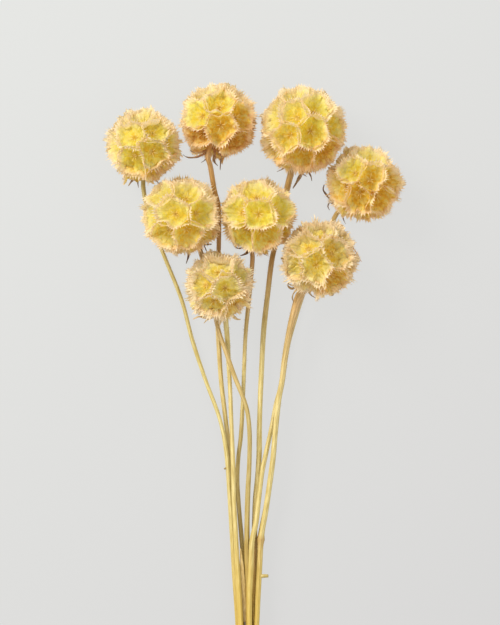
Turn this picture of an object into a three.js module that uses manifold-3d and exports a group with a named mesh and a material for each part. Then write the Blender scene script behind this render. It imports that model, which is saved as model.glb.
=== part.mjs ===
// A bunch of eight dried scabiosa stems, tied near the foot and lying flat on a surface.
// Millimetres. +Z is up, +Y runs from the cut ends to the seed heads, and the origin is on the surface,
// under the middle of the bunch. Each head is a globe of papery cups on a smaller core, each stalk ends in
// a plain hole in its head, and the bracts under a head grow from its stalk.

import * as THREE from 'three';
import { mergeVertices } from 'three/addons/utils/BufferGeometryUtils.js';
import Module from 'manifold-3d';

const wasm = await Module();
wasm.setup();

// Driving dimensions
const seatGap = 0.3; // between pieces that touch
const fullTurn = 2 * Math.PI;

// A cup, as shares of its head's radius
const coreShare = 0.56; // the core that the cups stand on
const rootShare = 0.44; // the pointed root of a cup's fruit, inside the core
const neckShare = 0.6; // where the fruit widens into the cup
const neckWidth = 0.085; // half width of the fruit there
const neckSides = 4;
const floorShare = 0.64; // the bottom of the cup's hollow
const widestCup = THREE.MathUtils.degToRad(34); // half angle of a rim seen from the head's centre
const bareBase = THREE.MathUtils.degToRad(27); // half angle round the stalk that the rims leave free
const rimPoints = 12; // teeth and notches together
const notchDepth = 0.07; // share of the radius by which a notch falls short of a tooth
const rimWall = 1.0; // across the rim, square to the radius
const settleSteps = 40; // rounds in which the cups push each other apart
const settlePush = 0.012;

// Stalks and bracts
const stalkSides = 6;
const stalkStep = 32; // longest stretch of a stalk between two sections
const seatShare = 0.3; // how deep a stalk's tip stands in the head, from the centre
const taperLength = 18; // over which a stalk loses its thicker top
const footBegins = 20; // y below which it grows thicker towards its cut end
const footReached = -50;
const bractWidth = 1.7;
const bractThickness = 0.75;

// The tie
const tie = {
  centre: [-2.1, -84.2, 6.4],
  inside: [5.75, 5.1], // half width and half height of the bundle with its clearance
  twine: 1.5, // diameter
  wraps: 3,
  steps: 16,
  knot: 2.1,
  tails: [[-6.5, 0.4, 9.5, 15], [5.0, -0.6, 9.2, 13]],
};

// Each stem: the head's centre and radius, the direction in which its stalk leaves it, the cups that show from
// above (x and y from the centre), how many cups it has in all, and the stalk's radius at its top, below and
// at its foot. The route is the stalk's centre line from the head to its cut end, and the bracts run from the
// stalk to their tips.
const stems = [
  {
    centre: [-50.0, 145.6, 17.0], radius: 17.5, base: [0, -0.75, -0.66], cups: 20,
    shown: [[6.8, 7.6], [-6.0, 4.6], [6.4, -5.4], [-6.4, -8.6], [-0.5, 15.0]],
    top: 0.95, stalk: 0.88, foot: 1.25,
    route: [
      [-50.5, 127.4, 3.2], [-48.9, 118.2, 2.4], [-45.3, 106.7, 2.4], [-40.9, 95.2, 2.4], [-32.7, 74.5, 2.4],
      [-27.8, 56.1, 2.7], [-21.7, 37.7, 3.2], [-15.0, 19.3, 4.0], [-12.2, 5.5, 4.4], [-10.3, -17.5, 4.6],
      [-8.6, -45.1, 5.0], [-6.9, -70.0, 5.6], [-6.0, -84.2, 5.8], [-6.0, -110.0, 5.5], [-7.3, -170.0, 4.6],
    ],
    bracts: [
      [[-50.4, 136.5, 8.5], [-53.5, 133.2, 7.8], [-56.8, 131, 7.4], [-60, 130.3, 7.6]],
      [[-50.4, 136.4, 8.3], [-53.2, 132.2, 6.4], [-55.6, 129.6, 5.4], [-57.3, 127.2, 5]],
      [[-50.4, 136.4, 8.3], [-52, 131.6, 5.8], [-52.9, 128.8, 4.6], [-52.6, 126.4, 4.2]],
      [[-50.4, 136.5, 8.5], [-47, 132.4, 6.6], [-44.4, 129.6, 5.4], [-43, 128.2, 5.2]],
    ],
  },
  {
    centre: [-15.9, 156.5, 17.7], radius: 18.3, base: [-0.27, -0.93, 0.25], cups: 20,
    shown: [[1.2, 9.5], [2.2, -3.6], [-11.0, 3.2], [12.5, 2.0], [10.5, -10.5]],
    top: 1.12, stalk: 1.02, foot: 1.2,
    route: [
      [-19.4, 136.2, 18.4], [-17.5, 125.1, 12.4], [-15.7, 118.2, 8.5], [-15.5, 113.2, 6.2], [-15.5, 102.1, 3.3],
      [-15.7, 93.8, 1.9], [-15.9, 80.5, 1.6], [-16.2, 67.6, 1.6], [-15.4, 51.5, 1.6], [-14.5, 37.7, 1.6],
      [-12.4, 19.3, 1.6], [-10.8, 5.5, 1.6], [-9.2, -17.5, 1.8], [-7.2, -45.1, 2.5], [-4.3, -84.2, 3.4],
      [-4.5, -110.0, 2.7], [-5.2, -174.0, 1.6],
    ],
    bracts: [
      [
        [-19.2, 144.8, 20.2], [-20.9, 142.3, 21], [-23.8, 140.6, 21.5], [-27.2, 139.8, 20.5],
        [-30.2, 140.1, 18.5], [-32, 141.3, 17],
      ],
      [
        [-19.2, 144.8, 20.4], [-21.8, 142.9, 22], [-24.6, 142, 22.6], [-27.2, 142.3, 21.8],
        [-28.5, 143.2, 20.8],
      ],
      [
        [-18.9, 144.8, 20.4], [-17.3, 142.4, 21.2], [-17.4, 140.1, 20.8], [-17.5, 138, 19.8],
        [-15.9, 136, 18.4],
      ],
      [
        [-18.8, 144.9, 20.2], [-15.4, 142, 20.6], [-14.2, 140.4, 19.8], [-14.6, 137.8, 17.6],
        [-14.9, 134.2, 15.4],
      ],
      [[-19.2, 144.8, 19.8], [-20.2, 141, 16.8], [-22.2, 138.6, 13.6], [-23.6, 137.8, 11.8]],
    ],
  },
  {
    centre: [23.2, 152.5, 20.4], radius: 20.9, base: [-0.22, -0.8, -0.56], cups: 26,
    shown: [
      [-5.1, 8.3], [7.5, 12.0], [5.1, -1.8], [-9.2, -4.6], [-1.5, -14.5], [10.5, -13.5], [17.0, 2.3],
      [-15.8, 7.5], [-3.5, 18.5],
    ],
    top: 1.4, stalk: 1.15, foot: 1.35,
    route: [
      [17.2, 131.0, 8.0], [15.8, 125.1, 5.2], [14.4, 118.2, 3.0], [13.4, 113.2, 2.0], [11.3, 103.0, 1.8],
      [9.2, 94.3, 2.1], [6.7, 74.5, 3.0], [5.2, 60.7, 3.5], [4.2, 42.3, 3.9], [3.6, 28.5, 4.1],
      [3.2, 14.7, 4.3], [3.1, 3.2, 4.3], [2.4, -8.3, 4.3], [1.6, -16.6, 4.2], [1.1, -28.1, 4.2],
      [0.8, -45.1, 4.2], [1.4, -84.2, 4.7], [2.0, -110.0, 4.4], [3.8, -166.0, 3.4],
    ],
    bracts: [
      [[20, 141.5, 12.3], [22, 136.4, 10.8], [22.4, 133, 9.6], [20.8, 129.6, 8.6], [18.6, 126, 7.6]],
      [[20.2, 141.5, 12.5], [24, 136.4, 11.2], [26, 133.2, 10.2], [27, 131.2, 9.4], [27.3, 129.4, 8.6]],
      [[19.8, 141.6, 12.2], [16.2, 137.4, 10.8], [13.4, 134.6, 10.4], [11.2, 133.6, 10.6]],
      [[20, 141.4, 12.1], [20.6, 136.2, 7.8], [22.6, 133.2, 5.6], [25, 131.6, 4.4]],
    ],
  },
  {
    centre: [51.0, 128.1, 17.3], radius: 18.0, base: [-0.52, -0.62, -0.59], cups: 20,
    shown: [[3.0, 14.5], [-6.5, 7.0], [4.2, 2.2], [-3.0, -7.5], [14.5, 2.0], [8.5, -9.0], [-13.0, -3.0]],
    top: 1.1, stalk: 0.95, foot: 1.25,
    route: [
      [38.9, 114.5, 3.6], [33.4, 102.1, 1.9], [27.8, 89.2, 1.6], [23.2, 76.8, 1.6], [19.6, 65.3, 1.7],
      [15.9, 51.5, 2.4], [13.1, 35.4, 4.0], [10.8, 26.2, 4.8], [9.0, 16.6, 5.5], [6.1, 3.2, 6.5],
      [4.4, -5.1, 6.9], [3.0, -16.6, 7.3], [1.6, -28.1, 7.9], [-0.2, -36.8, 8.4], [-0.7, -48.3, 8.8],
      [-1.3, -59.8, 9.2], [-1.4, -84.2, 9.75], [-1.3, -110.0, 9.8], [-0.9, -173.0, 9.6],
    ],
    bracts: [
      [
        [44, 121.5, 9.6], [41, 119.5, 7.2], [37.5, 119.8, 6.5], [35.2, 121.6, 8], [33.5, 123.7, 10],
        [32.5, 125.5, 11.5], [33, 127.6, 12.5],
      ],
      [
        [44.2, 121.4, 9.7], [41.4, 118.6, 6.6], [38.4, 118.6, 5.2], [35.6, 119.4, 4.8], [34.8, 117.8, 4.6],
        [35.6, 116, 4.4],
      ],
      [[44.2, 121.2, 9.8], [42.2, 117.8, 7.4], [41.6, 114.8, 6], [42, 111.8, 5], [43, 109.6, 4.4]],
      [[44.6, 121.2, 9.6], [45.6, 117.4, 6.4], [47.6, 115, 4.8], [49.6, 113.8, 4.4]],
    ],
  },
  {
    centre: [-32.5, 113.2, 18.1], radius: 18.8, base: [0.4, -0.68, -0.61], cups: 22,
    shown: [[-4.1, 0.8], [3.5, 12.0], [11.0, 1.5], [3.5, -10.0], [-9.5, -11.0], [-10.5, 11.5]],
    top: 1.1, stalk: 0.98, foot: 1.2,
    route: [
      [-23.7, 96.0, 3.4], [-21.4, 88.3, 2.1], [-19.6, 80.5, 1.7], [-18.4, 74.5, 3.2], [-17.2, 67.6, 4.9],
      [-15.0, 58.4, 7.2], [-13.3, 53.8, 8.3], [-11.7, 49.2, 8.9], [-7.6, 37.7, 8.9], [-4.4, 29.9, 8.9],
      [-2.5, 23.9, 8.8], [-1.4, 14.7, 8.6], [-1.4, 0.9, 7.8], [-2.1, -13.8, 7.0], [-2.5, -28.1, 6.4],
      [-2.5, -48.3, 6.1], [-2.1, -84.2, 6.4], [-2.1, -110.0, 6.3], [-2.6, -172.0, 5.8],
    ],
    bracts: [
      [
        [-28.2, 105.1, 10.2], [-28.2, 101, 7.4], [-29.2, 97.2, 5.8], [-29.7, 94.2, 5.4],
        [-30.6, 91.4, 5.4],
      ],
      [[-28, 105.2, 10.4], [-24.6, 102.4, 8.8], [-22.2, 99.4, 7.8], [-21.2, 97, 7.4], [-20.6, 95, 7.2]],
      [[-28.2, 105.1, 10.2], [-31.2, 101.2, 7.6], [-34.4, 98.4, 6.2], [-37.4, 97.2, 5.8]],
      [[-28, 105, 10.1], [-24.8, 101.2, 6], [-21.6, 100.2, 4], [-18.8, 100.4, 3.2]],
    ],
  },
  {
    centre: [2.4, 113.2, 18.2], radius: 18.0, base: [-0.16, -0.9, -0.4], cups: 20,
    shown: [[0.6, 0.8], [-11.5, 1.5], [-1.0, 12.8], [13.0, 2.5], [-8.5, -11.0], [3.5, -12.0]],
    top: 1.0, stalk: 0.9, foot: 1.05,
    route: [
      [0.0, 94.6, 9.0], [-1.1, 80.5, 7.4], [-3.2, 58.4, 6.2], [-3.9, 42.3, 5.4], [-4.4, 28.5, 4.9],
      [-5.5, 10.1, 3.6], [-6.4, 3.2, 3.0], [-7.0, -8.3, 2.0], [-6.5, -17.5, 1.7], [-4.2, -45.1, 2.1],
      [-1.0, -84.2, 3.15], [-0.9, -110.0, 2.5], [-0.6, -174.0, 1.4],
    ],
    bracts: [
      [[0.6, 103, 13.2], [-2.2, 100, 12], [-4.6, 98.6, 12.2], [-6.6, 98.3, 12.8], [-8.5, 99.2, 13.4]],
      [[0.8, 103, 13.2], [3, 99, 11.4], [4.8, 96.2, 10.6], [6.8, 95, 10.4]],
      [[0.6, 103, 13], [-1, 98.4, 8.4], [-3.4, 95.8, 6.4], [-5.6, 95, 5.6]],
      [[0.8, 103, 13], [2.8, 98.6, 8.6], [5.4, 97.2, 6.4], [7.8, 97, 5.2]],
    ],
  },
  {
    centre: [-15.4, 80.9, 19.2], radius: 16.2, base: [0.2, -0.87, -0.45], cups: 18,
    shown: [[-1.0, 9.5], [-9.5, 0.5], [4.5, -1.5], [13.0, 5.5], [-3.5, -10.5], [8.5, -11.0]],
    top: 1.15, stalk: 0.92, foot: 1.15,
    route: [
      [-12.2, 64.0, 10.4], [-11.7, 58.4, 7.1], [-11.4, 53.8, 5.3], [-11.2, 49.2, 4.4], [-10.3, 33.1, 4.9],
      [-9.9, 21.6, 5.5], [-9.0, 0.9, 6.4], [-8.5, -17.5, 6.8], [-7.1, -45.1, 7.4], [-5.1, -84.2, 8.6],
      [-5.3, -110.0, 8.5], [-6.3, -168.0, 8.2],
    ],
    bracts: [
      [
        [-13.4, 71.7, 14.3], [-17.2, 68.3, 11.9], [-21.4, 66.5, 11.0], [-24.6, 66.9, 11.6],
        [-27.4, 65.7, 12],
      ],
      [
        [-13.6, 71.6, 14.6], [-16.4, 68.2, 14.4], [-19, 66.2, 14.2], [-20.9, 65.4, 13.8],
        [-22.4, 63.8, 13.2],
      ],
      [
        [-13.8, 71.4, 14.8], [-14.9, 67.6, 14.8], [-14.5, 64.8, 14.2], [-15.3, 62.6, 13.4],
        [-14.7, 61, 12.8],
      ],
      [[-13.2, 71.6, 14.4], [-9.8, 68, 13.2], [-7.2, 65.8, 12.6], [-5.4, 65.6, 12.8]],
    ],
  },
  {
    centre: [30.6, 93.6, 21.2], radius: 18.4, base: [-0.42, -0.83, -0.36], cups: 22,
    shown: [[-8.5, 7.0], [0.5, 14.5], [9.5, 3.0], [-2.5, -5.0], [8.0, -12.0], [-14.0, -4.5]],
    top: 1.9, stalk: 1.15, foot: 1.35,
    route: [
      [21.6, 76.4, 12.6], [18.2, 65.3, 11.4], [16.3, 56.1, 10.8], [14.8, 46.9, 10.3], [13.7, 37.7, 9.9],
      [12.0, 28.5, 9.5], [10.6, 14.7, 8.9], [9.4, 0.9, 8.2], [7.8, -11.0, 7.6], [6.1, -22.5, 7.2],
      [4.4, -31.3, 6.9], [3.8, -35.9, 6.8], [3.3, -45.5, 6.8], [2.5, -59.8, 7.2], [2.0, -71.3, 7.7],
      [1.3, -84.2, 8.2], [1.6, -110.0, 8.1], [3.4, -171.0, 7.6],
    ],
    node: { y: -35.9, swell: 0.5, length: 1.8 },
    stub: { from: [3.0, -53.0, 7.0], to: [7.2, -52.6, 8.2], radii: [0.95, 0.6] },
    bracts: [
      [
        [25.4, 84.6, 16.8], [22.6, 82, 15.4], [20, 80.4, 15.2], [17.8, 79.8, 15.6], [16.2, 81.2, 16.2],
        [17, 83, 17],
      ],
      [[25.4, 84.4, 17], [22, 80.6, 17.8], [19.4, 78.4, 17], [18.3, 76, 15.8], [19, 73, 14.8]],
      [[25.6, 84.4, 16.8], [25.4, 79.6, 13.4], [27, 76.8, 11.6], [29.2, 75.4, 10.8]],
      [[25.4, 84.4, 16.6], [21.4, 81.4, 12.4], [18.4, 81.2, 10], [16.2, 82.2, 8.8]],
    ],
  },
];

// Small helpers
const vector = (point) => new THREE.Vector3(...point);

function solidOf(geometry) {
  geometry.deleteAttribute('normal');
  geometry.deleteAttribute('uv');
  const merged = mergeVertices(geometry, 1e-5);
  return new wasm.Manifold(new wasm.Mesh({
    numProp: 3,
    vertProperties: new Float32Array(merged.attributes.position.array),
    triVerts: new Uint32Array(merged.index.array),
  }));
}

function geometryOf(solid) {
  const mesh = solid.getMesh();
  const geometry = new THREE.BufferGeometry();
  geometry.setAttribute('position', new THREE.BufferAttribute(mesh.vertProperties, 3));
  geometry.setIndex(new THREE.BufferAttribute(mesh.triVerts, 1));
  geometry.computeVertexNormals();
  return geometry;
}

function closedGeometry(points, triangles) {
  const geometry = new THREE.BufferGeometry().setFromPoints(points);
  geometry.setIndex(triangles);
  return geometry;
}

// Two directions square to an axis, the first as near to a given one as it can be
function squareTo(axis, near) {
  const first = near.clone().addScaledVector(axis, -near.dot(axis)).normalize();
  return [first, new THREE.Vector3().crossVectors(axis, first)];
}

// A closed tube through points with a radius at each one; flat squashes its section towards a blade
function tube(points, radii, sides, flat = 1, near = new THREE.Vector3(0, 0, 1)) {
  const ringPoints = [];
  const triangles = [];
  let across = near;
  points.forEach((point, i) => {
    const along = points[Math.min(i + 1, points.length - 1)].clone()
      .sub(points[Math.max(i - 1, 0)]).normalize();
    const [first, second] = squareTo(along, across);
    across = first;
    for (let k = 0; k < sides; k++) {
      const turn = fullTurn * k / sides;
      ringPoints.push(point.clone()
        .addScaledVector(first, Math.cos(turn) * radii[i] * flat)
        .addScaledVector(second, Math.sin(turn) * radii[i]));
    }
  });
  for (let i = 0; i < points.length - 1; i++) {
    for (let k = 0; k < sides; k++) {
      const a = i * sides + k;
      const b = i * sides + (k + 1) % sides;
      triangles.push(a, b, a + sides, b, b + sides, a + sides);
    }
  }
  const last = (points.length - 1) * sides;
  for (let k = 1; k < sides - 1; k++) {
    triangles.push(0, k + 1, k, last, last + k, last + k + 1);
  }
  return closedGeometry(ringPoints, triangles);
}

// Where the cups of a head point: those that show are given, and the rest fill the globe as far from each other
// and from the stalk as they can
function cupDirections(stem) {
  const base = vector(stem.base).normalize();
  const directions = stem.shown.map(([x, y]) => {
    const [across, up] = [x / stem.radius, y / stem.radius];
    return new THREE.Vector3(across, up, Math.sqrt(Math.max(0, 1 - across * across - up * up))).normalize();
  });
  const shown = directions.length;
  const golden = Math.PI * (3 - Math.sqrt(5));
  const candidates = Array.from({ length: 400 }, (_, i) => {
    const height = 1 - (2 * i + 1) / 400;
    const round = Math.sqrt(1 - height * height);
    return new THREE.Vector3(round * Math.cos(golden * i), round * Math.sin(golden * i), height);
  });
  while (directions.length < stem.cups) {
    const room = (candidate) => Math.min(
      candidate.angleTo(base) - 0.15,
      ...directions.map((direction) => candidate.angleTo(direction)),
    );
    directions.push(candidates.reduce((best, next) => (room(next) > room(best) ? next : best)).clone());
  }
  for (let step = 0; step < settleSteps; step++) {
    for (let i = shown; i < directions.length; i++) {
      const push = new THREE.Vector3();
      [...directions, base].forEach((other, j) => {
        if (j === i) return;
        const away = directions[i].clone().sub(other);
        push.addScaledVector(away, 1 / away.length() ** 4);
      });
      directions[i].addScaledVector(push, settlePush).normalize();
    }
  }
  return directions;
}

// Half angle of a cup's rim on one side: the widest cup, or half way to a neighbour, or the bare base
function rimAngle(axis, side, others, base, gapAngle) {
  let angle = widestCup;
  const press = (other, reach) => {
    const [towards] = squareTo(axis, other);
    const facing = side.dot(towards);
    if (facing <= 0.01 || reach >= Math.PI / 2) return;
    angle = Math.min(angle, Math.atan(Math.tan(reach) / facing) - gapAngle);
  };
  others.forEach((other) => press(other, axis.angleTo(other) / 2));
  press(base, axis.angleTo(base) - bareBase);
  return Math.max(angle, 0.12);
}

// One cup: a funnel with a toothed rim, its hollow open outwards and its pointed root inside the core
function cupGeometry(stem, axis, others, bendClear) {
  const base = vector(stem.base).normalize();
  const [first, second] = squareTo(axis, Math.abs(axis.z) < 0.9 ? new THREE.Vector3(0, 0, 1) : base);
  const outer = [];
  const inner = [];
  for (let k = 0; k < rimPoints; k++) {
    const turn = fullTurn * k / rimPoints;
    const side = first.clone().multiplyScalar(Math.cos(turn)).addScaledVector(second, Math.sin(turn));
    const short = k % 2 ? notchDepth : 0;
    const reach = stem.radius * (1 - short);
    const angle = rimAngle(axis, side, others, base, seatGap / 2 / stem.radius) * (1 - 1.5 * short);
    const onGlobe = (a) => bendClear(axis.clone().multiplyScalar(reach * Math.cos(a))
      .addScaledVector(side, reach * Math.sin(a)));
    outer.push(onGlobe(angle));
    inner.push(onGlobe(angle - rimWall / stem.radius));
  }
  const neck = [];
  for (let k = 0; k < neckSides; k++) {
    const turn = fullTurn * k / neckSides;
    neck.push(axis.clone().multiplyScalar(stem.radius * neckShare)
      .addScaledVector(first, Math.cos(turn) * stem.radius * neckWidth)
      .addScaledVector(second, Math.sin(turn) * stem.radius * neckWidth));
  }
  const hollowFloor = axis.clone().multiplyScalar(stem.radius * floorShare);
  const root = axis.clone().multiplyScalar(stem.radius * rootShare);
  const points = [...outer, ...inner, ...neck, hollowFloor, root];
  const [neckStart, floorIndex, rootIndex] = [2 * rimPoints, points.length - 2, points.length - 1];
  const perSide = rimPoints / neckSides;
  const triangles = [];
  for (let k = 0; k < rimPoints; k++) {
    const next = (k + 1) % rimPoints;
    const under = neckStart + Math.floor(k / perSide);
    triangles.push(floorIndex, rimPoints + k, rimPoints + next);
    triangles.push(rimPoints + k, k, next, rimPoints + k, next, rimPoints + next);
    triangles.push(under, next, k);
  }
  for (let k = 0; k < neckSides; k++) {
    const next = (k + 1) % neckSides;
    triangles.push(neckStart + k, neckStart + next, (k + 1) * perSide % rimPoints);
    triangles.push(rootIndex, neckStart + next, neckStart + k);
  }
  return closedGeometry(points, triangles);
}

// Draws a point of a head back to where the surface or a touching neighbour head begins
function bendClearOf(stem) {
  const centre = vector(stem.centre);
  const limits = stems.filter((other) => other !== stem).map((other) => {
    const towards = vector(other.centre).sub(centre);
    const share = stem.radius / (stem.radius + other.radius);
    return { towards: towards.clone().normalize(), reach: towards.length() * share - seatGap / 2 };
  });
  limits.push({ towards: new THREE.Vector3(0, 0, -1), reach: centre.z });
  return (point) => {
    limits.forEach(({ towards, reach }) => {
      const beyond = point.dot(towards) / reach;
      if (beyond > 1) point.multiplyScalar(1 / beyond);
    });
    return point;
  };
}

function headGeometry(stem) {
  const directions = cupDirections(stem);
  const bendClear = bendClearOf(stem);
  const core = solidOf(new THREE.IcosahedronGeometry(stem.radius * coreShare, 1));
  const cups = directions.map((axis) => solidOf(
    cupGeometry(stem, axis, directions.filter((other) => other !== axis), bendClear),
  ));
  const base = vector(stem.base).normalize();
  const hole = solidOf(tube(
    [base.clone().multiplyScalar(stem.radius * seatShare - seatGap), base.clone().multiplyScalar(stem.radius)],
    [stem.top + seatGap + 0.1, stem.top + seatGap + 0.1], 8,
  ));
  const head = wasm.Manifold.union([core, ...cups]).subtract(hole);
  return geometryOf(head).translate(...stem.centre);
}

// The stalk's centre line, from its tip in the head to the cut end, with a radius at each point
function stalkLine(stem) {
  const base = vector(stem.base).normalize();
  const fromHead = (share) => vector(stem.centre).addScaledVector(base, stem.radius * share);
  const knots = [fromHead(seatShare), fromHead(0.62), fromHead(0.95), ...stem.route.map(vector)];
  const curve = new THREE.CatmullRomCurve3(knots);
  const points = [knots[0]];
  const radii = [stem.top];
  let travelled = 0;
  for (let span = 0; span < knots.length - 1; span++) {
    const length = knots[span].distanceTo(knots[span + 1]);
    const parts = Math.ceil(length / stalkStep);
    for (let part = 1; part <= parts; part++) {
      const point = curve.getPoint((span + part / parts) / (knots.length - 1));
      travelled += point.distanceTo(points.at(-1));
      points.push(point);
      const fade = Math.exp(-Math.max(0, travelled - stem.radius) / taperLength);
      const low = THREE.MathUtils.clamp((footBegins - point.y) / (footBegins - footReached), 0, 1);
      radii.push(stem.stalk + (stem.top - stem.stalk) * fade + (stem.foot - stem.stalk) * low);
    }
  }
  return { points, radii };
}

// A thin bract that leaves the stalk under its head and curls away
function bractGeometry(stem, route) {
  const half = bractWidth / 2;
  const widths = route.map((_, i) => half * Math.min(1, 0.45 + 0.275 * (route.length - 1 - i)));
  return tube(route.map(vector), widths, 3, bractThickness / bractWidth, vector(stem.base).normalize());
}

function stalkGeometry(stem) {
  const { points, radii } = stalkLine(stem);
  const pieces = [tube(points, radii, stalkSides)];
  stem.bracts.forEach((route) => pieces.push(bractGeometry(stem, route)));
  if (stem.node) {
    const at = points.reduce((best, point) => (
      Math.abs(point.y - stem.node.y) < Math.abs(best.y - stem.node.y) ? point : best));
    const swell = stem.foot + stem.node.swell;
    const along = [-1, -0.3, 0.5, 1].map((share) => at.clone().setY(at.y + share * stem.node.length));
    pieces.push(tube(along, [0.9 * stem.foot, swell, swell, 0.9 * stem.foot], stalkSides));
  }
  if (stem.stub) pieces.push(tube([vector(stem.stub.from), vector(stem.stub.to)], stem.stub.radii, 5));
  return geometryOf(wasm.Manifold.union(pieces.map(solidOf)));
}

// Three wraps of twine drawn as one ring, flat where it lies on the surface, with a knot and two ends
function tieGeometry() {
  const [halfWidth, halfHeight] = tie.inside;
  const section = [[0, 0.12]];
  for (let wrap = 0; wrap < tie.wraps; wrap++) {
    section.push([tie.twine * (wrap + 0.5), 1.0]);
    section.push([tie.twine * (wrap + 1), wrap === tie.wraps - 1 ? 0.12 : 0.62]);
  }
  section.push([tie.twine * (tie.wraps - 0.3), 0], [tie.twine * 0.3, 0]);
  const ringPoints = [];
  const triangles = [];
  for (let step = 0; step < tie.steps; step++) {
    const turn = fullTurn * (step + 0.5) / tie.steps;
    section.forEach(([along, out]) => ringPoints.push(new THREE.Vector3(
      tie.centre[0] + Math.cos(turn) * (halfWidth / Math.cos(Math.PI / tie.steps) + out * tie.twine),
      tie.centre[1] + along - tie.twine * tie.wraps / 2,
      tie.centre[2] + Math.sin(turn) * (halfHeight / Math.cos(Math.PI / tie.steps) + out * tie.twine),
    )));
    for (let k = 0; k < section.length; k++) {
      const a = step * section.length + k;
      const b = step * section.length + (k + 1) % section.length;
      const forward = ((step + 1) % tie.steps - step) * section.length;
      triangles.push(a, b, a + forward, b, b + forward, a + forward);
    }
  }
  const knotAt = vector([tie.centre[0], tie.centre[1], tie.centre[2] + halfHeight + tie.twine * 1.1]);
  const knot = new THREE.IcosahedronGeometry(tie.knot, 1);
  knot.scale(1.25, 1, 0.7).translate(...knotAt);
  const tails = tie.tails.map(([x, bend, drop, length]) => tube(
    [
      knotAt.clone(), knotAt.clone().add(vector([x * 0.6, -length * 0.35, bend])),
      knotAt.clone().add(vector([x * 1.2, -length * 0.7, -drop * 0.4])),
      knotAt.clone().add(vector([x * 1.7, -length, -drop])),
    ], Array(4).fill(tie.twine / 2), 5,
  ));
  const below = new THREE.BoxGeometry(100, 100, 10).translate(tie.centre[0], tie.centre[1], -5);
  const whole = [closedGeometry(ringPoints, triangles), knot, ...tails].map(solidOf);
  return geometryOf(wasm.Manifold.union(whole).subtract(solidOf(below)));
}

// Materials
const material = (color, roughness) => new THREE.MeshStandardMaterial({ color, roughness, metalness: 0 });
const dyedCups = material('#e3bf5c', 0.75);
const dyedStalk = material('#d3bd78', 0.6);
const twine = material('#b89a6a', 0.9);

const bunch = new THREE.Group();
function addPiece(name, geometry, finish) {
  const mesh = new THREE.Mesh(geometry, finish);
  mesh.name = name;
  bunch.add(mesh);
}

stems.forEach((stem, i) => {
  addPiece(`head_${i + 1}`, headGeometry(stem), dyedCups.clone());
  addPiece(`stalk_${i + 1}`, stalkGeometry(stem), dyedStalk.clone());
});
addPiece('tie', tieGeometry(), twine);

export default bunch;
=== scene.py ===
import functools
import math
import random

import bpy
import numpy as np
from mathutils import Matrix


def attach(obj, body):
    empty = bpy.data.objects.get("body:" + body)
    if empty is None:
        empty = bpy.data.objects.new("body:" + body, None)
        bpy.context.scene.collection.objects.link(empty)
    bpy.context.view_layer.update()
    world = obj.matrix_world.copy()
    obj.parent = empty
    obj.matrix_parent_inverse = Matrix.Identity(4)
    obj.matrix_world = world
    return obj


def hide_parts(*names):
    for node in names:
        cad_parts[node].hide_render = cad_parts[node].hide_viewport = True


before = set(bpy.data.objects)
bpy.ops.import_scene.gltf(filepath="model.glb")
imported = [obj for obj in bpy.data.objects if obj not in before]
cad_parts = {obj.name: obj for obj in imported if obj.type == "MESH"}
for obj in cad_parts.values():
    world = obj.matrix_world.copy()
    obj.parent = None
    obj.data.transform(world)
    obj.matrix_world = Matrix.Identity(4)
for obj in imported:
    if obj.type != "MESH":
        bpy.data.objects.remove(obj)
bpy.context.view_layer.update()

# A bunch of eight dried scabiosa stems, dyed yellow, lying flat under a camera that looks straight down.
# All places and sizes are in millimetres until a mesh is made.

mm = 0.001
fullTurn = 2 * math.pi

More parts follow.
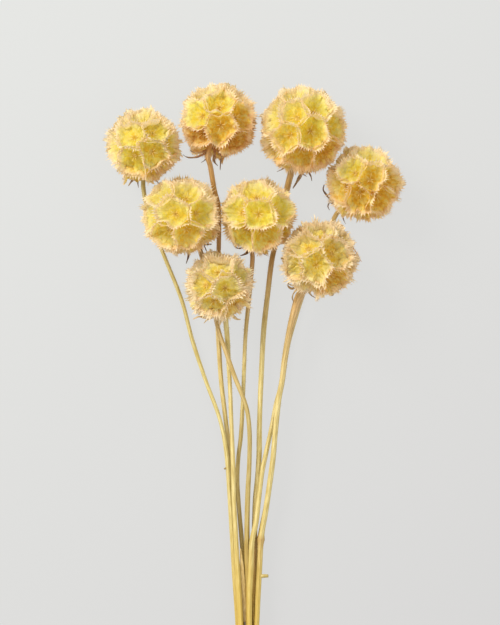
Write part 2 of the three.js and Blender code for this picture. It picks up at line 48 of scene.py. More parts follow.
# One row a stem: the head's centre and radius, the way its stalk leaves it, how many cups it has and, in x and y
# from its centre, which of them show from above. radii are the stalk's at its top, below it and at its foot.
# tone runs from lemon, 0, to orange, 1, deepest is how far the cups go, and bleach pales their rims; crumpled and
# pleated deepen their folds. skin gives, at some heights y, how brown and how dull the stalk is there, and route
# its way from the head to its cut end. node is the swelling where a leaf stood. Each bract, spur and stray bristle
# has a route too.
stems = [
    {
        "centre": (-50, 145.6, 17), "radius": 17.5, "base": (0, -0.75, -0.66), "cups": 20,
        "shown": [(6.4, -5.4), (-6, 4.6), (6.8, 7.6), (-6.4, -8.6), (-0.5, 15)],
        "radii": (0.95, 0.88, 1.25), "tone": 0, "bleach": 0.04, "crumpled": 1.45, "paleBracts": 0.2,
        "skin": [(-60, 0.1, 0.1), (35, 0, 0.1), (56, 0, 0.35), (130, 0, 0.4)],
        "route": [
            (-50.5, 127.4, 3.2), (-48.9, 118.2, 2.4), (-45.3, 106.7, 2.4), (-40.9, 95.2, 2.4), (-32.7, 74.5, 2.4),
            (-27.8, 56.1, 2.7), (-21.7, 37.7, 3.2), (-15, 19.3, 4), (-12.2, 5.5, 4.4), (-10.3, -17.5, 4.6),
            (-8.6, -45.1, 5), (-6.9, -70, 5.6), (-6, -84.2, 5.8), (-6, -110, 5.5), (-7.3, -170, 4.6),
        ],
        "spurs": [{  # the scar of a leaf
            "line": [(-11.9, -3, 4.7), (-12.6, -3.2, 5), (-13, -3.4, 5.2)], "radii": (0.5, 0.35), "brown": 0.5,
            "dull": 1.2,
        }],
        "bracts": [
            [(-50.4, 136.5, 8.5), (-53.5, 133.2, 7.8), (-56.8, 131, 7.4), (-60, 130.3, 7.6)],
            [(-50.4, 136.4, 8.3), (-53.2, 132.2, 6.4), (-55.6, 129.6, 5.4), (-57.3, 127.2, 5)],
            [(-50.4, 136.4, 8.3), (-52, 131.6, 5.8), (-52.9, 128.8, 4.6), (-52.6, 126.4, 4.2)],
            [(-50.4, 136.5, 8.5), (-47, 132.4, 6.6), (-44.4, 129.6, 5.4), (-43, 128.2, 5.2)],
        ],
    },
    {
        "centre": (-15.9, 156.5, 17.7), "radius": 18.3, "base": (-0.27, -0.93, 0.25), "cups": 20,
        "shown": [(1.2, 9.5), (2.2, -3.6), (-11, 3.2), (12.5, 2), (10.5, -10.5)],
        "radii": (1.12, 1.02, 1.2), "tone": 0.9, "deepest": 1.45, "bleach": -0.13, "paleBracts": 0.1,
        "skin": [(-60, 0.5, 0), (-20, 0.3, 0), (30, 0.2, 0), (60, 0.45, 0), (80, 1, 0.1), (140, 1, 0.05)],
        "route": [
            (-19.4, 136.2, 18.4), (-17.5, 125.1, 12.4), (-15.7, 118.2, 8.5), (-15.5, 113.2, 6.2), (-15.5, 102.1, 3.3),
            (-15.7, 93.8, 1.9), (-15.9, 80.5, 1.6), (-16.2, 67.6, 1.6), (-15.4, 51.5, 1.6), (-14.5, 37.7, 1.6),
            (-12.4, 19.3, 1.6), (-10.8, 5.5, 1.6), (-9.2, -17.5, 1.8), (-7.2, -45.1, 2.5), (-4.3, -84.2, 3.4),
            (-4.5, -110, 2.7), (-5.2, -174, 1.6),
        ],
        "bracts": [
            [(-19.2, 144.8, 20.2), (-20.9, 142.3, 21), (-23.8, 140.6, 21.5), (-27.2, 139.8, 20.5),
             (-30.2, 140.1, 18.5), (-32, 141.3, 17)],
            [(-19.2, 144.8, 20.4), (-21.8, 142.9, 22), (-24.6, 142, 22.6), (-27.2, 142.3, 21.8), (-28.5, 143.2, 20.8)],
            [(-18.9, 144.8, 20.4), (-17.3, 142.4, 21.2), (-17.4, 140.1, 20.8), (-17.5, 138, 19.8), (-15.9, 136, 18.4)],
            [(-18.8, 144.9, 20.2), (-15.4, 142, 20.6), (-14.2, 140.4, 19.8), (-14.6, 137.8, 17.6),
             (-14.9, 134.2, 15.4)],
            [(-19.2, 144.8, 19.8), (-20.2, 141, 16.8), (-22.2, 138.6, 13.6), (-23.6, 137.8, 11.8)],
        ],
    },
    {
        "centre": (23.2, 152.5, 20.4), "radius": 20.9, "base": (-0.22, -0.8, -0.56), "cups": 26,
        "shown": [
            (5.1, -1.8), (-9.2, -4.6), (7.5, 12), (-5.1, 8.3), (-1.5, -14.5), (10.5, -13.5), (17, 2.3), (-15.8, 7.5),
            (-3.5, 18.5),
        ],
        "radii": (1.4, 1.15, 1.35), "tone": 0.5, "deepest": 1.15, "bleach": -0.11, "paleBracts": 0.2,
        "skin": [
            (-70, 0.5, 0.1), (-60, 0.9, 0.1), (-36, 0.8, 0.1), (-30, 0.2, 0.1), (19, 0.1, 0.1), (47, 0.1, 0),
            (74, 0.4, 0.1), (88, 0.85, 0.1), (140, 0.8, 0.05),
        ],
        "route": [
            (17.2, 131, 8), (15.8, 125.1, 5.2), (14.4, 118.2, 3), (13.4, 113.2, 2), (11.3, 103, 1.8), (9.2, 94.3, 2.1),
            (6.7, 74.5, 3), (5.2, 60.7, 3.5), (4.2, 42.3, 3.9), (3.6, 28.5, 4.1), (3.2, 14.7, 4.3), (3.1, 3.2, 4.3),
            (2.4, -8.3, 4.3), (1.6, -16.6, 4.2), (1.1, -28.1, 4.2), (0.8, -45.1, 4.2), (1.4, -84.2, 4.7),
            (2, -110, 4.4), (3.8, -166, 3.4),
        ],
        "bracts": [
            [(20, 141.5, 12.3), (22, 136.4, 10.8), (22.4, 133, 9.6), (20.8, 129.6, 8.6), (18.6, 126, 7.6)],
            [(20.2, 141.5, 12.5), (24, 136.4, 11.2), (26, 133.2, 10.2), (27, 131.2, 9.4), (27.3, 129.4, 8.6)],
            [(19.8, 141.6, 12.2), (16.2, 137.4, 10.8), (13.4, 134.6, 10.4), (11.2, 133.6, 10.6)],
            [(20, 141.4, 12.1), (20.6, 136.2, 7.8), (22.6, 133.2, 5.6), (25, 131.6, 4.4)],
        ],
    },
    {
        "centre": (51, 128.1, 17.3), "radius": 18, "base": (-0.52, -0.62, -0.59), "cups": 20,
        "shown": [(4.2, 2.2), (-3, -7.5), (8.5, -9), (-6.5, 7), (3, 14.5), (14.5, 2), (-13, -3)],
        "radii": (1.1, 0.95, 1.25), "tone": 0.9, "bleach": -0.12, "paleBracts": 0.1,
        "skin": [(-60, 0.1, 0.1), (0, 0.1, 0.1), (60, 0.25, 0.1), (125, 0.6, 0)],
        "route": [
            (38.9, 114.5, 3.6), (33.4, 102.1, 1.9), (27.8, 89.2, 1.6), (23.2, 76.8, 1.6), (19.6, 65.3, 1.7),
            (15.9, 51.5, 2.4), (13.1, 35.4, 4), (10.8, 26.2, 4.8), (9, 16.6, 5.5), (6.1, 3.2, 6.5), (4.4, -5.1, 6.9),
            (3, -16.6, 7.3), (1.6, -28.1, 7.9), (-0.2, -36.8, 8.4), (-0.7, -48.3, 8.8), (-1.3, -59.8, 9.2),
            (-1.4, -84.2, 9.75), (-1.3, -110, 9.8), (-0.9, -173, 9.6),
        ],
        "bracts": [
            [(44, 121.5, 9.6), (41, 119.5, 7.2), (37.5, 119.8, 6.5), (35.2, 121.6, 8), (33.5, 123.7, 10),
             (32.5, 125.5, 11.5), (33, 127.6, 12.5)],
            [(44.2, 121.4, 9.7), (41.4, 118.6, 6.6), (38.4, 118.6, 5.2), (35.6, 119.4, 4.8), (34.8, 117.8, 4.6),
             (35.6, 116, 4.4)],
            [(44.2, 121.2, 9.8), (42.2, 117.8, 7.4), (41.6, 114.8, 6), (42, 111.8, 5), (43, 109.6, 4.4)],
            [(44.6, 121.2, 9.6), (45.6, 117.4, 6.4), (47.6, 115, 4.8), (49.6, 113.8, 4.4)],
        ],
    },
    {
        "centre": (-32.5, 113.2, 18.1), "radius": 18.8, "base": (0.4, -0.68, -0.61), "cups": 22,
        "shown": [(-4.1, 0.8), (11, 1.5), (3.5, 12), (3.5, -10), (-9.5, -11), (-10.5, 11.5)],
        "radii": (1.1, 0.98, 1.2), "tone": 0.1, "bleach": 0.04, "paleBracts": 0,
        "skin": [(-60, 0.5, 0.2), (-30, 0.2, 0.6), (20, 0.2, 0.6), (37, 0.4, 0.3), (75, 0.7, 0.2), (110, 0.9, 0.2)],
        "route": [
            (-23.7, 96, 3.4), (-21.4, 88.3, 2.1), (-19.6, 80.5, 1.7), (-18.4, 74.5, 3.2), (-17.2, 67.6, 4.9),
            (-15, 58.4, 7.2), (-13.3, 53.8, 8.3), (-11.7, 49.2, 8.9), (-7.6, 37.7, 8.9), (-4.4, 29.9, 8.9),
            (-2.5, 23.9, 8.8), (-1.4, 14.7, 8.6), (-1.4, 0.9, 7.8), (-2.1, -13.8, 7), (-2.5, -28.1, 6.4),
            (-2.5, -48.3, 6.1), (-2.1, -84.2, 6.4), (-2.1, -110, 6.3), (-2.6, -172, 5.8),
        ],
        "spurs": [{  # what is left of a leaf's sheath
            "line": [(-5.6, -40, 7.2), (-4.9, -48, 7.2), (-4.4, -58, 7.2), (-4, -68, 7.2), (-3.7, -74, 7.1)],
            "radii": (0.3, 0.9, 1.25, 1.25, 0.9), "flat": 0.2, "brown": 0.5,
        }],
        "bracts": [
            [(-28.2, 105.1, 10.2), (-28.2, 101, 7.4), (-29.2, 97.2, 5.8), (-29.7, 94.2, 5.4), (-30.6, 91.4, 5.4)],
            [(-28, 105.2, 10.4), (-24.6, 102.4, 8.8), (-22.2, 99.4, 7.8), (-21.2, 97, 7.4), (-20.6, 95, 7.2)],
            [(-28.2, 105.1, 10.2), (-31.2, 101.2, 7.6), (-34.4, 98.4, 6.2), (-37.4, 97.2, 5.8)],
            [(-28, 105, 10.1), (-24.8, 101.2, 6), (-21.6, 100.2, 4), (-18.8, 100.4, 3.2)],
        ],
    },
    {
        "centre": (2.4, 113.2, 18.2), "radius": 18, "base": (-0.16, -0.9, -0.4), "cups": 20,
        "shown": [(0.6, 0.8), (-11.5, 1.5), (-1, 12.8), (13, 2.5), (-8.5, -11), (3.5, -12)],
        "radii": (1, 0.9, 1.05), "tone": 0.25, "deepest": 1.1, "bleach": -0.19, "paleBracts": 0.1,
        "skin": [(-60, 0.1, 0.3), (10, 0.2, 0.5), (40, 0.1, 0.15), (70, 0.6, 0.15), (90, 1, 0.3), (110, 1, 0.3)],
        "route": [
            (0, 94.6, 9), (-1.1, 80.5, 7.4), (-3.2, 58.4, 6.2), (-3.9, 42.3, 5.4), (-4.4, 28.5, 4.9), (-5.5, 10.1, 3.6),
            (-6.4, 3.2, 3), (-7, -8.3, 2), (-6.5, -17.5, 1.7), (-4.2, -45.1, 2.1), (-1, -84.2, 3.15), (-0.9, -110, 2.5),
            (-0.6, -174, 1.4),
        ],
        "bracts": [
            [(0.6, 103, 13.2), (-2.2, 100, 12), (-4.6, 98.6, 12.2), (-6.6, 98.3, 12.8), (-8.5, 99.2, 13.4)],
            [(0.8, 103, 13.2), (3, 99, 11.4), (4.8, 96.2, 10.6), (6.8, 95, 10.4)],
            [(0.6, 103, 13), (-1, 98.4, 8.4), (-3.4, 95.8, 6.4), (-5.6, 95, 5.6)],
            [(0.8, 103, 13), (2.8, 98.6, 8.6), (5.4, 97.2, 6.4), (7.8, 97, 5.2)],
        ],
    },
    {
        "centre": (-15.4, 80.9, 19.2), "radius": 16.2, "base": (0.2, -0.87, -0.45), "cups": 18,
        "shown": [(-1, 9.5), (-9.5, 0.5), (4.5, -1.5), (13, 5.5), (-3.5, -10.5), (8.5, -11)],
        "radii": (1.15, 0.92, 1.15), "tone": 0.24, "bleach": 0.52, "crumpled": 1.35, "pleated": 2.2, "paleBracts": 0.8,
        "skin": [(-60, 0.1, 0), (37, 0.15, 0), (80, 0.15, 0)],
        "route": [
            (-12.2, 64, 10.4), (-11.7, 58.4, 7.1), (-11.4, 53.8, 5.3), (-11.2, 49.2, 4.4), (-10.3, 33.1, 4.9),
            (-9.9, 21.6, 5.5), (-9, 0.9, 6.4), (-8.5, -17.5, 6.8), (-7.1, -45.1, 7.4), (-5.1, -84.2, 8.6),
            (-5.3, -110, 8.5), (-6.3, -168, 8.2),
        ],
        "bracts": [
            [(-13.4, 71.7, 14.3), (-17.2, 68.3, 11.9), (-21.4, 66.5, 11), (-24.6, 66.9, 11.6), (-27.4, 65.7, 12)],
            [(-13.6, 71.6, 14.6), (-16.4, 68.2, 14.4), (-19, 66.2, 14.2), (-20.9, 65.4, 13.8), (-22.4, 63.8, 13.2)],
            [(-13.8, 71.4, 14.8), (-14.9, 67.6, 14.8), (-14.5, 64.8, 14.2), (-15.3, 62.6, 13.4), (-14.7, 61, 12.8)],
            [(-13.2, 71.6, 14.4), (-9.8, 68, 13.2), (-7.2, 65.8, 12.6), (-5.4, 65.6, 12.8)],
        ],
    },
    {
        "centre": (30.6, 93.6, 21.2), "radius": 18.4, "base": (-0.42, -0.83, -0.36), "cups": 22,
        "shown": [(-2.5, -5), (9.5, 3), (-8.5, 7), (0.5, 14.5), (8, -12), (-14, -4.5)],
        "radii": (1.9, 1.15, 1.35), "tone": 0.46, "bleach": 0.31, "crumpled": 1.35, "pleated": 1.5, "paleBracts": 0.4,
        "node": {"y": -35.9, "swell": 0.5, "length": 1.8},
        "skin": [
            (-75, 0.2, 0), (-55, 0.2, 0), (-39, 0.35, 0.1), (-36, 0.8, 0.5), (-34, 0.1, 0.05), (28, 0.15, 0.05),
            (42, 0.35, 0.05), (72, 0.85, 0.1), (90, 0.8, 0.1),
        ],
        "route": [
            (21.6, 76.4, 12.6), (18.2, 65.3, 11.4), (16.3, 56.1, 10.8), (14.8, 46.9, 10.3), (13.7, 37.7, 9.9),
            (12, 28.5, 9.5), (10.6, 14.7, 8.9), (9.4, 0.9, 8.2), (7.8, -11, 7.6), (6.1, -22.5, 7.2), (4.4, -31.3, 6.9),
            (3.8, -35.9, 6.8), (3.3, -45.5, 6.8), (2.5, -59.8, 7.2), (2, -71.3, 7.7), (1.3, -84.2, 8.2),
            (1.6, -110, 8.1), (3.4, -171, 7.6),
        ],
        "spurs": [{  # the cut stub of a side shoot
            "line": [(3, -53, 7), (5.1, -52.65, 7.6), (7.2, -52.6, 8.2)], "radii": (0.95, 0.75), "brown": 0,
            "dull": 0.5,
        }],
        "strays": [  # a long bristle that stands out of the head
            [(43.6, 102.6, 20), (46.2, 98.4, 21), (48.2, 95.2, 20.6), (49.9, 92, 20)],
        ],
        "bracts": [
            [(25.4, 84.6, 16.8), (22.6, 82, 15.4), (20, 80.4, 15.2), (17.8, 79.8, 15.6), (16.2, 81.2, 16.2),
             (17, 83, 17)],
            [(25.4, 84.4, 17), (22, 80.6, 17.8), (19.4, 78.4, 17), (18.3, 76, 15.8), (19, 73, 14.8)],
            [(25.6, 84.4, 16.8), (25.4, 79.6, 13.4), (27, 76.8, 11.6), (29.2, 75.4, 10.8)],
            [(25.4, 84.4, 16.6), (21.4, 81.4, 12.4), (18.4, 81.2, 10), (16.2, 82.2, 8.8)],
        ],
    },
]


# Materials

def linear(hexColour):
    def channel(value):
        value /= 255
        return value / 12.92 if value <= 0.04045 else ((value + 0.055) / 1.055) ** 2.4
    return tuple(channel(int(hexColour[i:i + 2], 16)) for i in (1, 3, 5)) + (1.0,)


def addNode(material, kind, output, inputs=None, stops=None, **settings):
    # Adds a node, sets it, links or fills its inputs, and gives back the output that is asked for
    node = material.node_tree.nodes.new("ShaderNode" + kind)
    for name, value in settings.items():
        setattr(node, name, value)
    if stops:  # a colour ramp's places and colours
        while len(node.color_ramp.elements) < len(stops):
            node.color_ramp.elements.new(1)
        for element, (place, colour) in zip(node.color_ramp.elements, stops):
            element.position = place
            element.color = linear(colour)
    for name, value in (inputs or {}).items():
        socket = node.inputs[name]
        if isinstance(value, bpy.types.NodeSocket):
            material.node_tree.links.new(value, socket)
        else:
            socket.default_value = value
    return node.outputs[output] if node.outputs else None


def makeMaterial(name, makeShader, finish):
    # makeShader is given the function that adds nodes to this material, and the finish
    material = bpy.data.materials.new(name)
    material.use_nodes = True
    material.node_tree.nodes.clear()
    add = functools.partial(addNode, material)
    add("OutputMaterial", None, {"Surface": makeShader(add, finish)})
    return material


cupFinish = {
    # Dyes from the throat, 0, over the bowl to the striped margin and the teeth, 1; the deeper gold towards the throat
    # is partly painted shade in the hollow of the cup
    "lemon": [
        (0.0, "#e0c23a"), (0.15, "#eede48"), (0.45, "#f6f05c"), (0.7, "#faf78e"), (0.88, "#fcefc6"), (0.95, "#f6d5c0"),
        (1.0, "#daaa9c"),
    ],
    "orange": [
        (0.0, "#dca626"), (0.15, "#e7ba2a"), (0.45, "#f0c93a"), (0.7, "#f7da60"), (0.88, "#f6d99e"), (0.95, "#eec4a6"),
        (1.0, "#ce9886"),
    ],
    # the deepest orange, where the tone passes 1: in the deepest heads, and mostly where painted shade deepens the tone
    "rust": [(0.0, "#b06010"), (0.45, "#cc8024"), (0.88, "#dc9c4e"), (1.0, "#c08a64")],
    "bleached": "#f8ebd0",  # pale cream where the rims paled, and the painted highlight on the upper left and on the crests of the crinkle
    "nerve": "#fdf1ce",
    "between": "#f2d3a0",  # the thin skin between two nerves
    "through": "#fffcec",  # the tint of the light that passes through
    "down": "#ffd6c8",  # the fine down that pales a membrane seen edge on
    "margin": (0.72, 0.9),  # where the striped margin begins, and where it is full
    "mottleMm": 3.2,  # size of the uneven patches of dye
    "mottle": 0.22,  # and how far they shift it
    "crinkleMm": 1.7,  # crinkle of the dried skin
    "crumpleMm": 2.6,  # size of the flat facets between its creases
    "worn": 0.34,  # how much painted highlight the crests of the crinkle get
    "gathered": 0.75,  # and how much painted shade its hollows get
}


def cupPaperShader(add, finish):
    # Dried membrane of a scabious cup, dyed: a thin dull paper that lets light through. Painted light lies on its
    # colour:
    # painted shade in the hollows of its crinkles, on the side away from the upper left and under the head, painted
    # highlight on their crests and on the upper left, and painted pale peach at the rims of the cups seen edge on. In
    # the striped margin the nerves are pale and thick, and the skin between them is thin and peach
    place = add("TexCoord", "Object")
    # tone brings painted shade and pale brings painted highlight, each on top of the dye
    along, nerve, tone, pale = (
        add("Attribute", "Fac", attribute_name=name) for name in ("along", "nerve", "tone", "pale")
    )
    lemon, orange, rust = (
        add("ValToRGB", "Color", {"Fac": along}, finish[name]) for name in ("lemon", "orange", "rust")
    )
    mottle = add("TexNoise", "Fac", {
        "Vector": place, "Scale": 1 / (finish["mottleMm"] * mm), "Detail": 3.0, "Roughness": 0.55,
    })
    uneven = add("MapRange", "Result", {
        "Value": mottle, "From Min": 0.3, "From Max": 0.7, "To Min": -finish["mottle"], "To Max": finish["mottle"],
    })
    crinkle = add("TexNoise", "Fac", {"Vector": place, "Scale": 1 / (finish["crinkleMm"] * mm), "Detail": 2.0})
    crests = add("MapRange", "Result", {
        "Value": crinkle, "From Min": 0.35, "From Max": 0.65, "To Min": -0.42, "To Max": 0.58,
    })  # from hollow to crest
    # painted highlight: paler on the crests of the crinkle, added to the pale attribute
    worn = add("Math", 0, {0: crests, 1: finish["worn"], 2: pale}, operation="MULTIPLY_ADD", use_clamp=True)
    # painted shade: deeper in the hollows of the crinkle, added to the uneven mottle of the dye
    gathered = add("Math", 0, {0: crests, 1: -finish["gathered"], 2: uneven}, operation="MULTIPLY_ADD")
    # the tone holds painted shade as well as the dye
    strength = add("Math", 0, {0: tone, 1: gathered}, operation="ADD")
    beyond = add("Math", 0, {0: strength, 1: 1.0}, operation="SUBTRACT", use_clamp=True)
    band = add("MapRange", "Result", {
        "Value": along, "From Min": finish["margin"][0], "From Max": finish["margin"][1],
        "To Min": 0.05, "To Max": 0.55,
    })
    gap = add("Math", 0, {0: 1.0, 1: nerve}, operation="SUBTRACT")
    gapShare, nerveShare = (add("Math", 0, {0: part, 1: band}, operation="MULTIPLY") for part in (gap, nerve))
    bleached, between, vein = (linear(finish[name]) for name in ("bleached", "between", "nerve"))
    # the pale cream carries painted highlight as well as paled rims; the orange and deepest tones carry painted shade
    # as well as dye
    layers = ((strength, orange), (beyond, rust), (worn, bleached), (gapShare, between), (nerveShare, vein))
    skin = lemon
    for share, colour in layers:
        skin = add("Mix", 2, {"Factor": share, 6: skin, 7: colour}, data_type="RGBA")
    facets = add("TexVoronoi", "Distance", {
        "Vector": place, "Scale": 1 / (finish["crumpleMm"] * mm), "Detail": 1.0, "Roughness": 0.4,
    })
    creased = add("Bump", "Normal", {"Height": facets, "Strength": 0.75, "Distance": 0.75 * mm})
    relief = add("Bump", "Normal", {"Height": crinkle, "Strength": 0.7, "Distance": 0.6 * mm, "Normal": creased})
    paper = add("BsdfPrincipled", 0, {
        "Base Color": skin, "Roughness": 0.62, "IOR": 1.45, "Specular IOR Level": 0.15, "Normal": relief,
        "Sheen Weight": 0.26, "Sheen Roughness": 0.3, "Sheen Tint": linear(finish["down"]),
    })
    through = {"Factor": 1.0, 6: skin, 7: linear(finish["through"])}
    tinted = add("Mix", 2, through, data_type="RGBA", blend_type="MULTIPLY")
    glow = add("BsdfTranslucent", 0, {"Color": tinted, "Normal": relief})
    thin = add("MapRange", "Result", {
        "Value": along, "From Min": 0.5, "From Max": 0.95, "To Min": 0.55, "To Max": 0.42,
    })  # less light passes where the nerves crowd at the rim
    return add("MixShader", 0, {0: thin, 1: paper, 2: glow})


fruitFinish = {
    "skin": [(0.0, "#cda242"), (0.4, "#dfba5a"), (0.75, "#f1da82"), (1.0, "#fdf0b4")],  # from groove to rib; the darker grooves are painted shade
    "warm": "#b8702a",  # in the deeper heads, and round the stalk as painted shade under the head
    "patchMm": 1.5,
}


def fruitSkinShader(add, finish):
    # Hairy ribbed skin of the dried fruits under the cups: a dull ochre, with painted shade between the ribs
    place = add("TexCoord", "Object")
    rib, tone = (add("Attribute", "Fac", attribute_name=name) for name in ("along", "tone"))
    patches = add("TexNoise", "Fac", {"Vector": place, "Scale": 1 / (finish["patchMm"] * mm), "Detail": 3.0})
    skin = add("ValToRGB", "Color", {"Fac": rib}, finish["skin"])
    warm = add("Math", 0, {0: tone, 1: 0.4}, operation="MULTIPLY", use_clamp=True)
    dyed = add("Mix", 2, {"Factor": warm, 6: skin, 7: linear(finish["warm"])}, data_type="RGBA")
    relief = add("Bump", "Normal", {"Height": patches, "Strength": 0.4, "Distance": 0.1 * mm})
    return add("BsdfPrincipled", 0, {"Base Color": dyed, "Roughness": 0.7, "Normal": relief})


stalkFinish = {
    "straw": [(0.0, "#92742e"), (0.42, "#bda961"), (0.6, "#d3c381"), (1.0, "#eae1b6")],
    "brown": [(0.0, "#8c6030"), (0.42, "#b0864e"), (0.6, "#c49a62"), (1.0, "#d8b480")],
    "dull": "#7c6224",
    "foot": "#be9b27",
    "streakMm": 0.45,  # width of the fine stripes along the stalk
}


def stalkSkinShader(add, finish):
    # Dried ridged stalk: straw with brown stretches, faintly shiny along its ridges, striped lengthwise
    along = add("Attribute", "Vector", attribute_name="along")
    brown, dull, foot = (add("Attribute", "Fac", attribute_name=name) for name in ("brown", "dull", "foot"))
    streaks = add("TexNoise", "Fac", {
        "Vector": along, "Scale": 1 / finish["streakMm"], "Detail": 2.5, "Roughness": 0.6,
    })
    skin, dark = (add("ValToRGB", "Color", {"Fac": streaks}, finish[name]) for name in ("straw", "brown"))
    dulled = add("Math", 0, {0: dull, 1: 0.6}, operation="MULTIPLY")
    for share, colour in ((brown, dark), (foot, linear(finish["foot"])), (dulled, linear(finish["dull"]))):
        skin = add("Mix", 2, {"Factor": share, 6: skin, 7: colour}, data_type="RGBA")
    relief = add("Bump", "Normal", {"Height": streaks, "Strength": 0.35, "Distance": 0.15 * mm})
    return add("BsdfPrincipled", 0, {"Base Color": skin, "Roughness": 0.5, "Normal": relief})


bractFinish = {
    "dark": [(0.0, "#b4722f"), (0.3, "#8e562c"), (0.65, "#684028"), (1.0, "#54402f")],
    "pale": [(0.0, "#e0c07c"), (0.4, "#e6cd92"), (1.0, "#c9a774")],
    "wrinkleMm": 1.2,
}


def bractSkinShader(add, finish):
    # Shrivelled bracts under a head: thin dull brown skin, ochre where it leaves the stalk
    place = add("TexCoord", "Object")
    along, tone = (add("Attribute", "Fac", attribute_name=name) for name in ("along", "tone"))
    patches = add("TexNoise", "Fac", {"Vector": place, "Scale": 1 / (finish["wrinkleMm"] * mm), "Detail": 3.0})
    dark, pale = (add("ValToRGB", "Color", {"Fac": along}, finish[name]) for name in ("dark", "pale"))
    uneven = add("MapRange", "Result", {
        "Value": patches, "From Min": 0.3, "From Max": 0.7, "To Min": -0.15, "To Max": 0.25,
    })
    blend = add("Math", 0, {0: tone, 1: uneven}, operation="ADD", use_clamp=True)
    skin = add("Mix", 2, {"Factor": blend, 6: dark, 7: pale}, data_type="RGBA")
    relief = add("Bump", "Normal", {"Height": patches, "Strength": 0.5, "Distance": 0.12 * mm})
    return add("BsdfPrincipled", 0, {"Base Color": skin, "Roughness": 0.6, "Normal": relief})


twineFinish = {
    "strands": [(0.0, "#6d5434"), (0.5, "#a98a5b"), (1.0, "#c9ad7c")],  # from the hollows to the crests, the hollows darker as painted shade
    "fibreMm": 0.35,  # single fibres are finer and wouldn't show
}


def twineFibreShader(add, finish):
    # Plain jute twine, spun: dull fibre with painted shade in the hollows between its strands
    place = add("TexCoord", "Object")
    strand = add("Attribute", "Fac", attribute_name="along")
    fibres = add("TexNoise", "Fac", {"Vector": place, "Scale": 1 / (finish["fibreMm"] * mm), "Detail": 4.0})
    skin = add("ValToRGB", "Color", {"Fac": strand}, finish["strands"])
    relief = add("Bump", "Normal", {"Height": fibres, "Strength": 0.7, "Distance": 0.2 * mm})
    return add("BsdfPrincipled", 0, {"Base Color": skin, "Roughness": 0.9, "Normal": relief})


# Mesh helpers: a part is its points, its faces and one value a point for each attribute

def unit(vector):
    vector = np.asarray(vector, float)
    return vector / np.linalg.norm(vector)


def squareTo(axis, near):
    # Two directions at right angles to an axis and to each other, the first one as close as can be to near
    first = unit(near - axis * np.dot(near, axis))
    return first, np.cross(axis, first)


def gridFaces(rows, columns):
    # The faces of a tube whose points run round it, row by row
    row, column = np.meshgrid(np.arange(rows - 1), np.arange(columns), indexing="ij")
    after = (column + 1) % columns
    corners = [(row + down) * columns + side for down, side in ((0, column), (0, after), (1, after), (1, column))]
    return np.stack(corners, -1).reshape(-1, 4).tolist()


def joinParts(parts):
    # All parts of a piece as one
    points, faces = [], []
    values = {name: [] for name in parts[0][2]}
    start = 0
    for partPoints, partFaces, partValues in parts:
        points.append(partPoints)
        faces.extend(tuple(start + corner for corner in face) for face in partFaces)
        for name in values:
            values[name].append(partValues[name])
        start += len(partPoints)
    return np.concatenate(points), faces, {name: np.concatenate(rows) for name, rows in values.items()}


def addObject(name, content):
    # An object in the scene that shows this mesh, light or camera
    added = bpy.data.objects.new(name, content)
    bpy.context.scene.collection.objects.link(added)
    return added


def makePiece(name, parts, material, node):
    # A smooth mesh that rides on the bunch and stands for one of its solids
    points, faces, values = joinParts(parts)
    mesh = bpy.data.meshes.new(name)
    mesh.from_pydata((points * mm).tolist(), [], faces)
    mesh.update()
    for valueName, rows in values.items():
        vectors = rows.ndim == 2
        attribute = mesh.attributes.new(valueName, "FLOAT_VECTOR" if vectors else "FLOAT", "POINT")
        attribute.data.foreach_set("vector" if vectors else "value", rows.astype(np.float32).ravel())
    mesh.polygons.foreach_set("use_smooth", [True] * len(mesh.polygons))
    mesh.materials.append(material)
    piece = addObject(name, mesh)
    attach(piece, "root")
    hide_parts(node)


def sweep(points, radii, sides, flat=1.0, near=(0, 0, 1), ridges=0, ridgeDepth=0.0, spin=0.0, twist=0.0):
    # A closed tube through points; flat squashes it to a blade that may twist, ridges run along it
    points = np.asarray(points, float)
    count = len(points)
    turns = fullTurn * np.arange(sides) / sides
    across = np.asarray(near, float)
    rings = []
    for i in range(count):
        direction = unit(points[min(i + 1, count - 1)] - points[max(i - 1, 0)])
        first, second = squareTo(direction, across)
        across = first
        shape = radii[i] * (1 + ridgeDepth * np.cos(ridges * turns + spin * i))
        lean = twist * i / (count - 1)
        thin = math.cos(lean) * first + math.sin(lean) * second
        broad = math.cos(lean) * second - math.sin(lean) * first
        rings.append(points[i] + np.outer(shape * flat * np.cos(turns), thin) + np.outer(shape * np.sin(turns), broad))
    rings = np.concatenate(rings)
    faces = gridFaces(count, sides)
    last = (count - 1) * sides
    faces.append(tuple(range(sides))[::-1])
    faces.append(tuple(range(last, last + sides)))
    return rings, faces


def smoothLine(knots, step):
    # A smooth curve through the knots, with points about a step apart
    knots = [np.asarray(knot, float) for knot in knots]
    padded = [2 * knots[0] - knots[1]] + knots + [2 * knots[-1] - knots[-2]]
    line = [knots[0]]
    for span in range(len(knots) - 1):
        a, b, c, d = padded[span:span + 4]
        gaps = [max(np.dot(q - p, q - p) ** 0.25, 1e-4) for p, q in ((a, b), (b, c), (c, d))]  # roots of lengths
        leave = ((b - a) / gaps[0] - (c - a) / (gaps[0] + gaps[1]) + (c - b) / gaps[1]) * gaps[1]
        arrive = ((c - b) / gaps[1] - (d - b) / (gaps[1] + gaps[2]) + (d - c) / gaps[2]) * gaps[1]
        parts = max(1, math.ceil(np.linalg.norm(c - b) / step))
        for part in range(1, parts + 1):
            t = part / parts
            squared = 3 * (c - b) - 2 * leave - arrive
            cubed = leave + arrive - 2 * (c - b)
            line.append(b + leave * t + squared * t ** 2 + cubed * t ** 3)
    return np.array(line)


# Where the cups of a head point, by the same rule as the solids: those that show from above are given, and the
# rest fill the globe as far from each other and from the stalk as they can

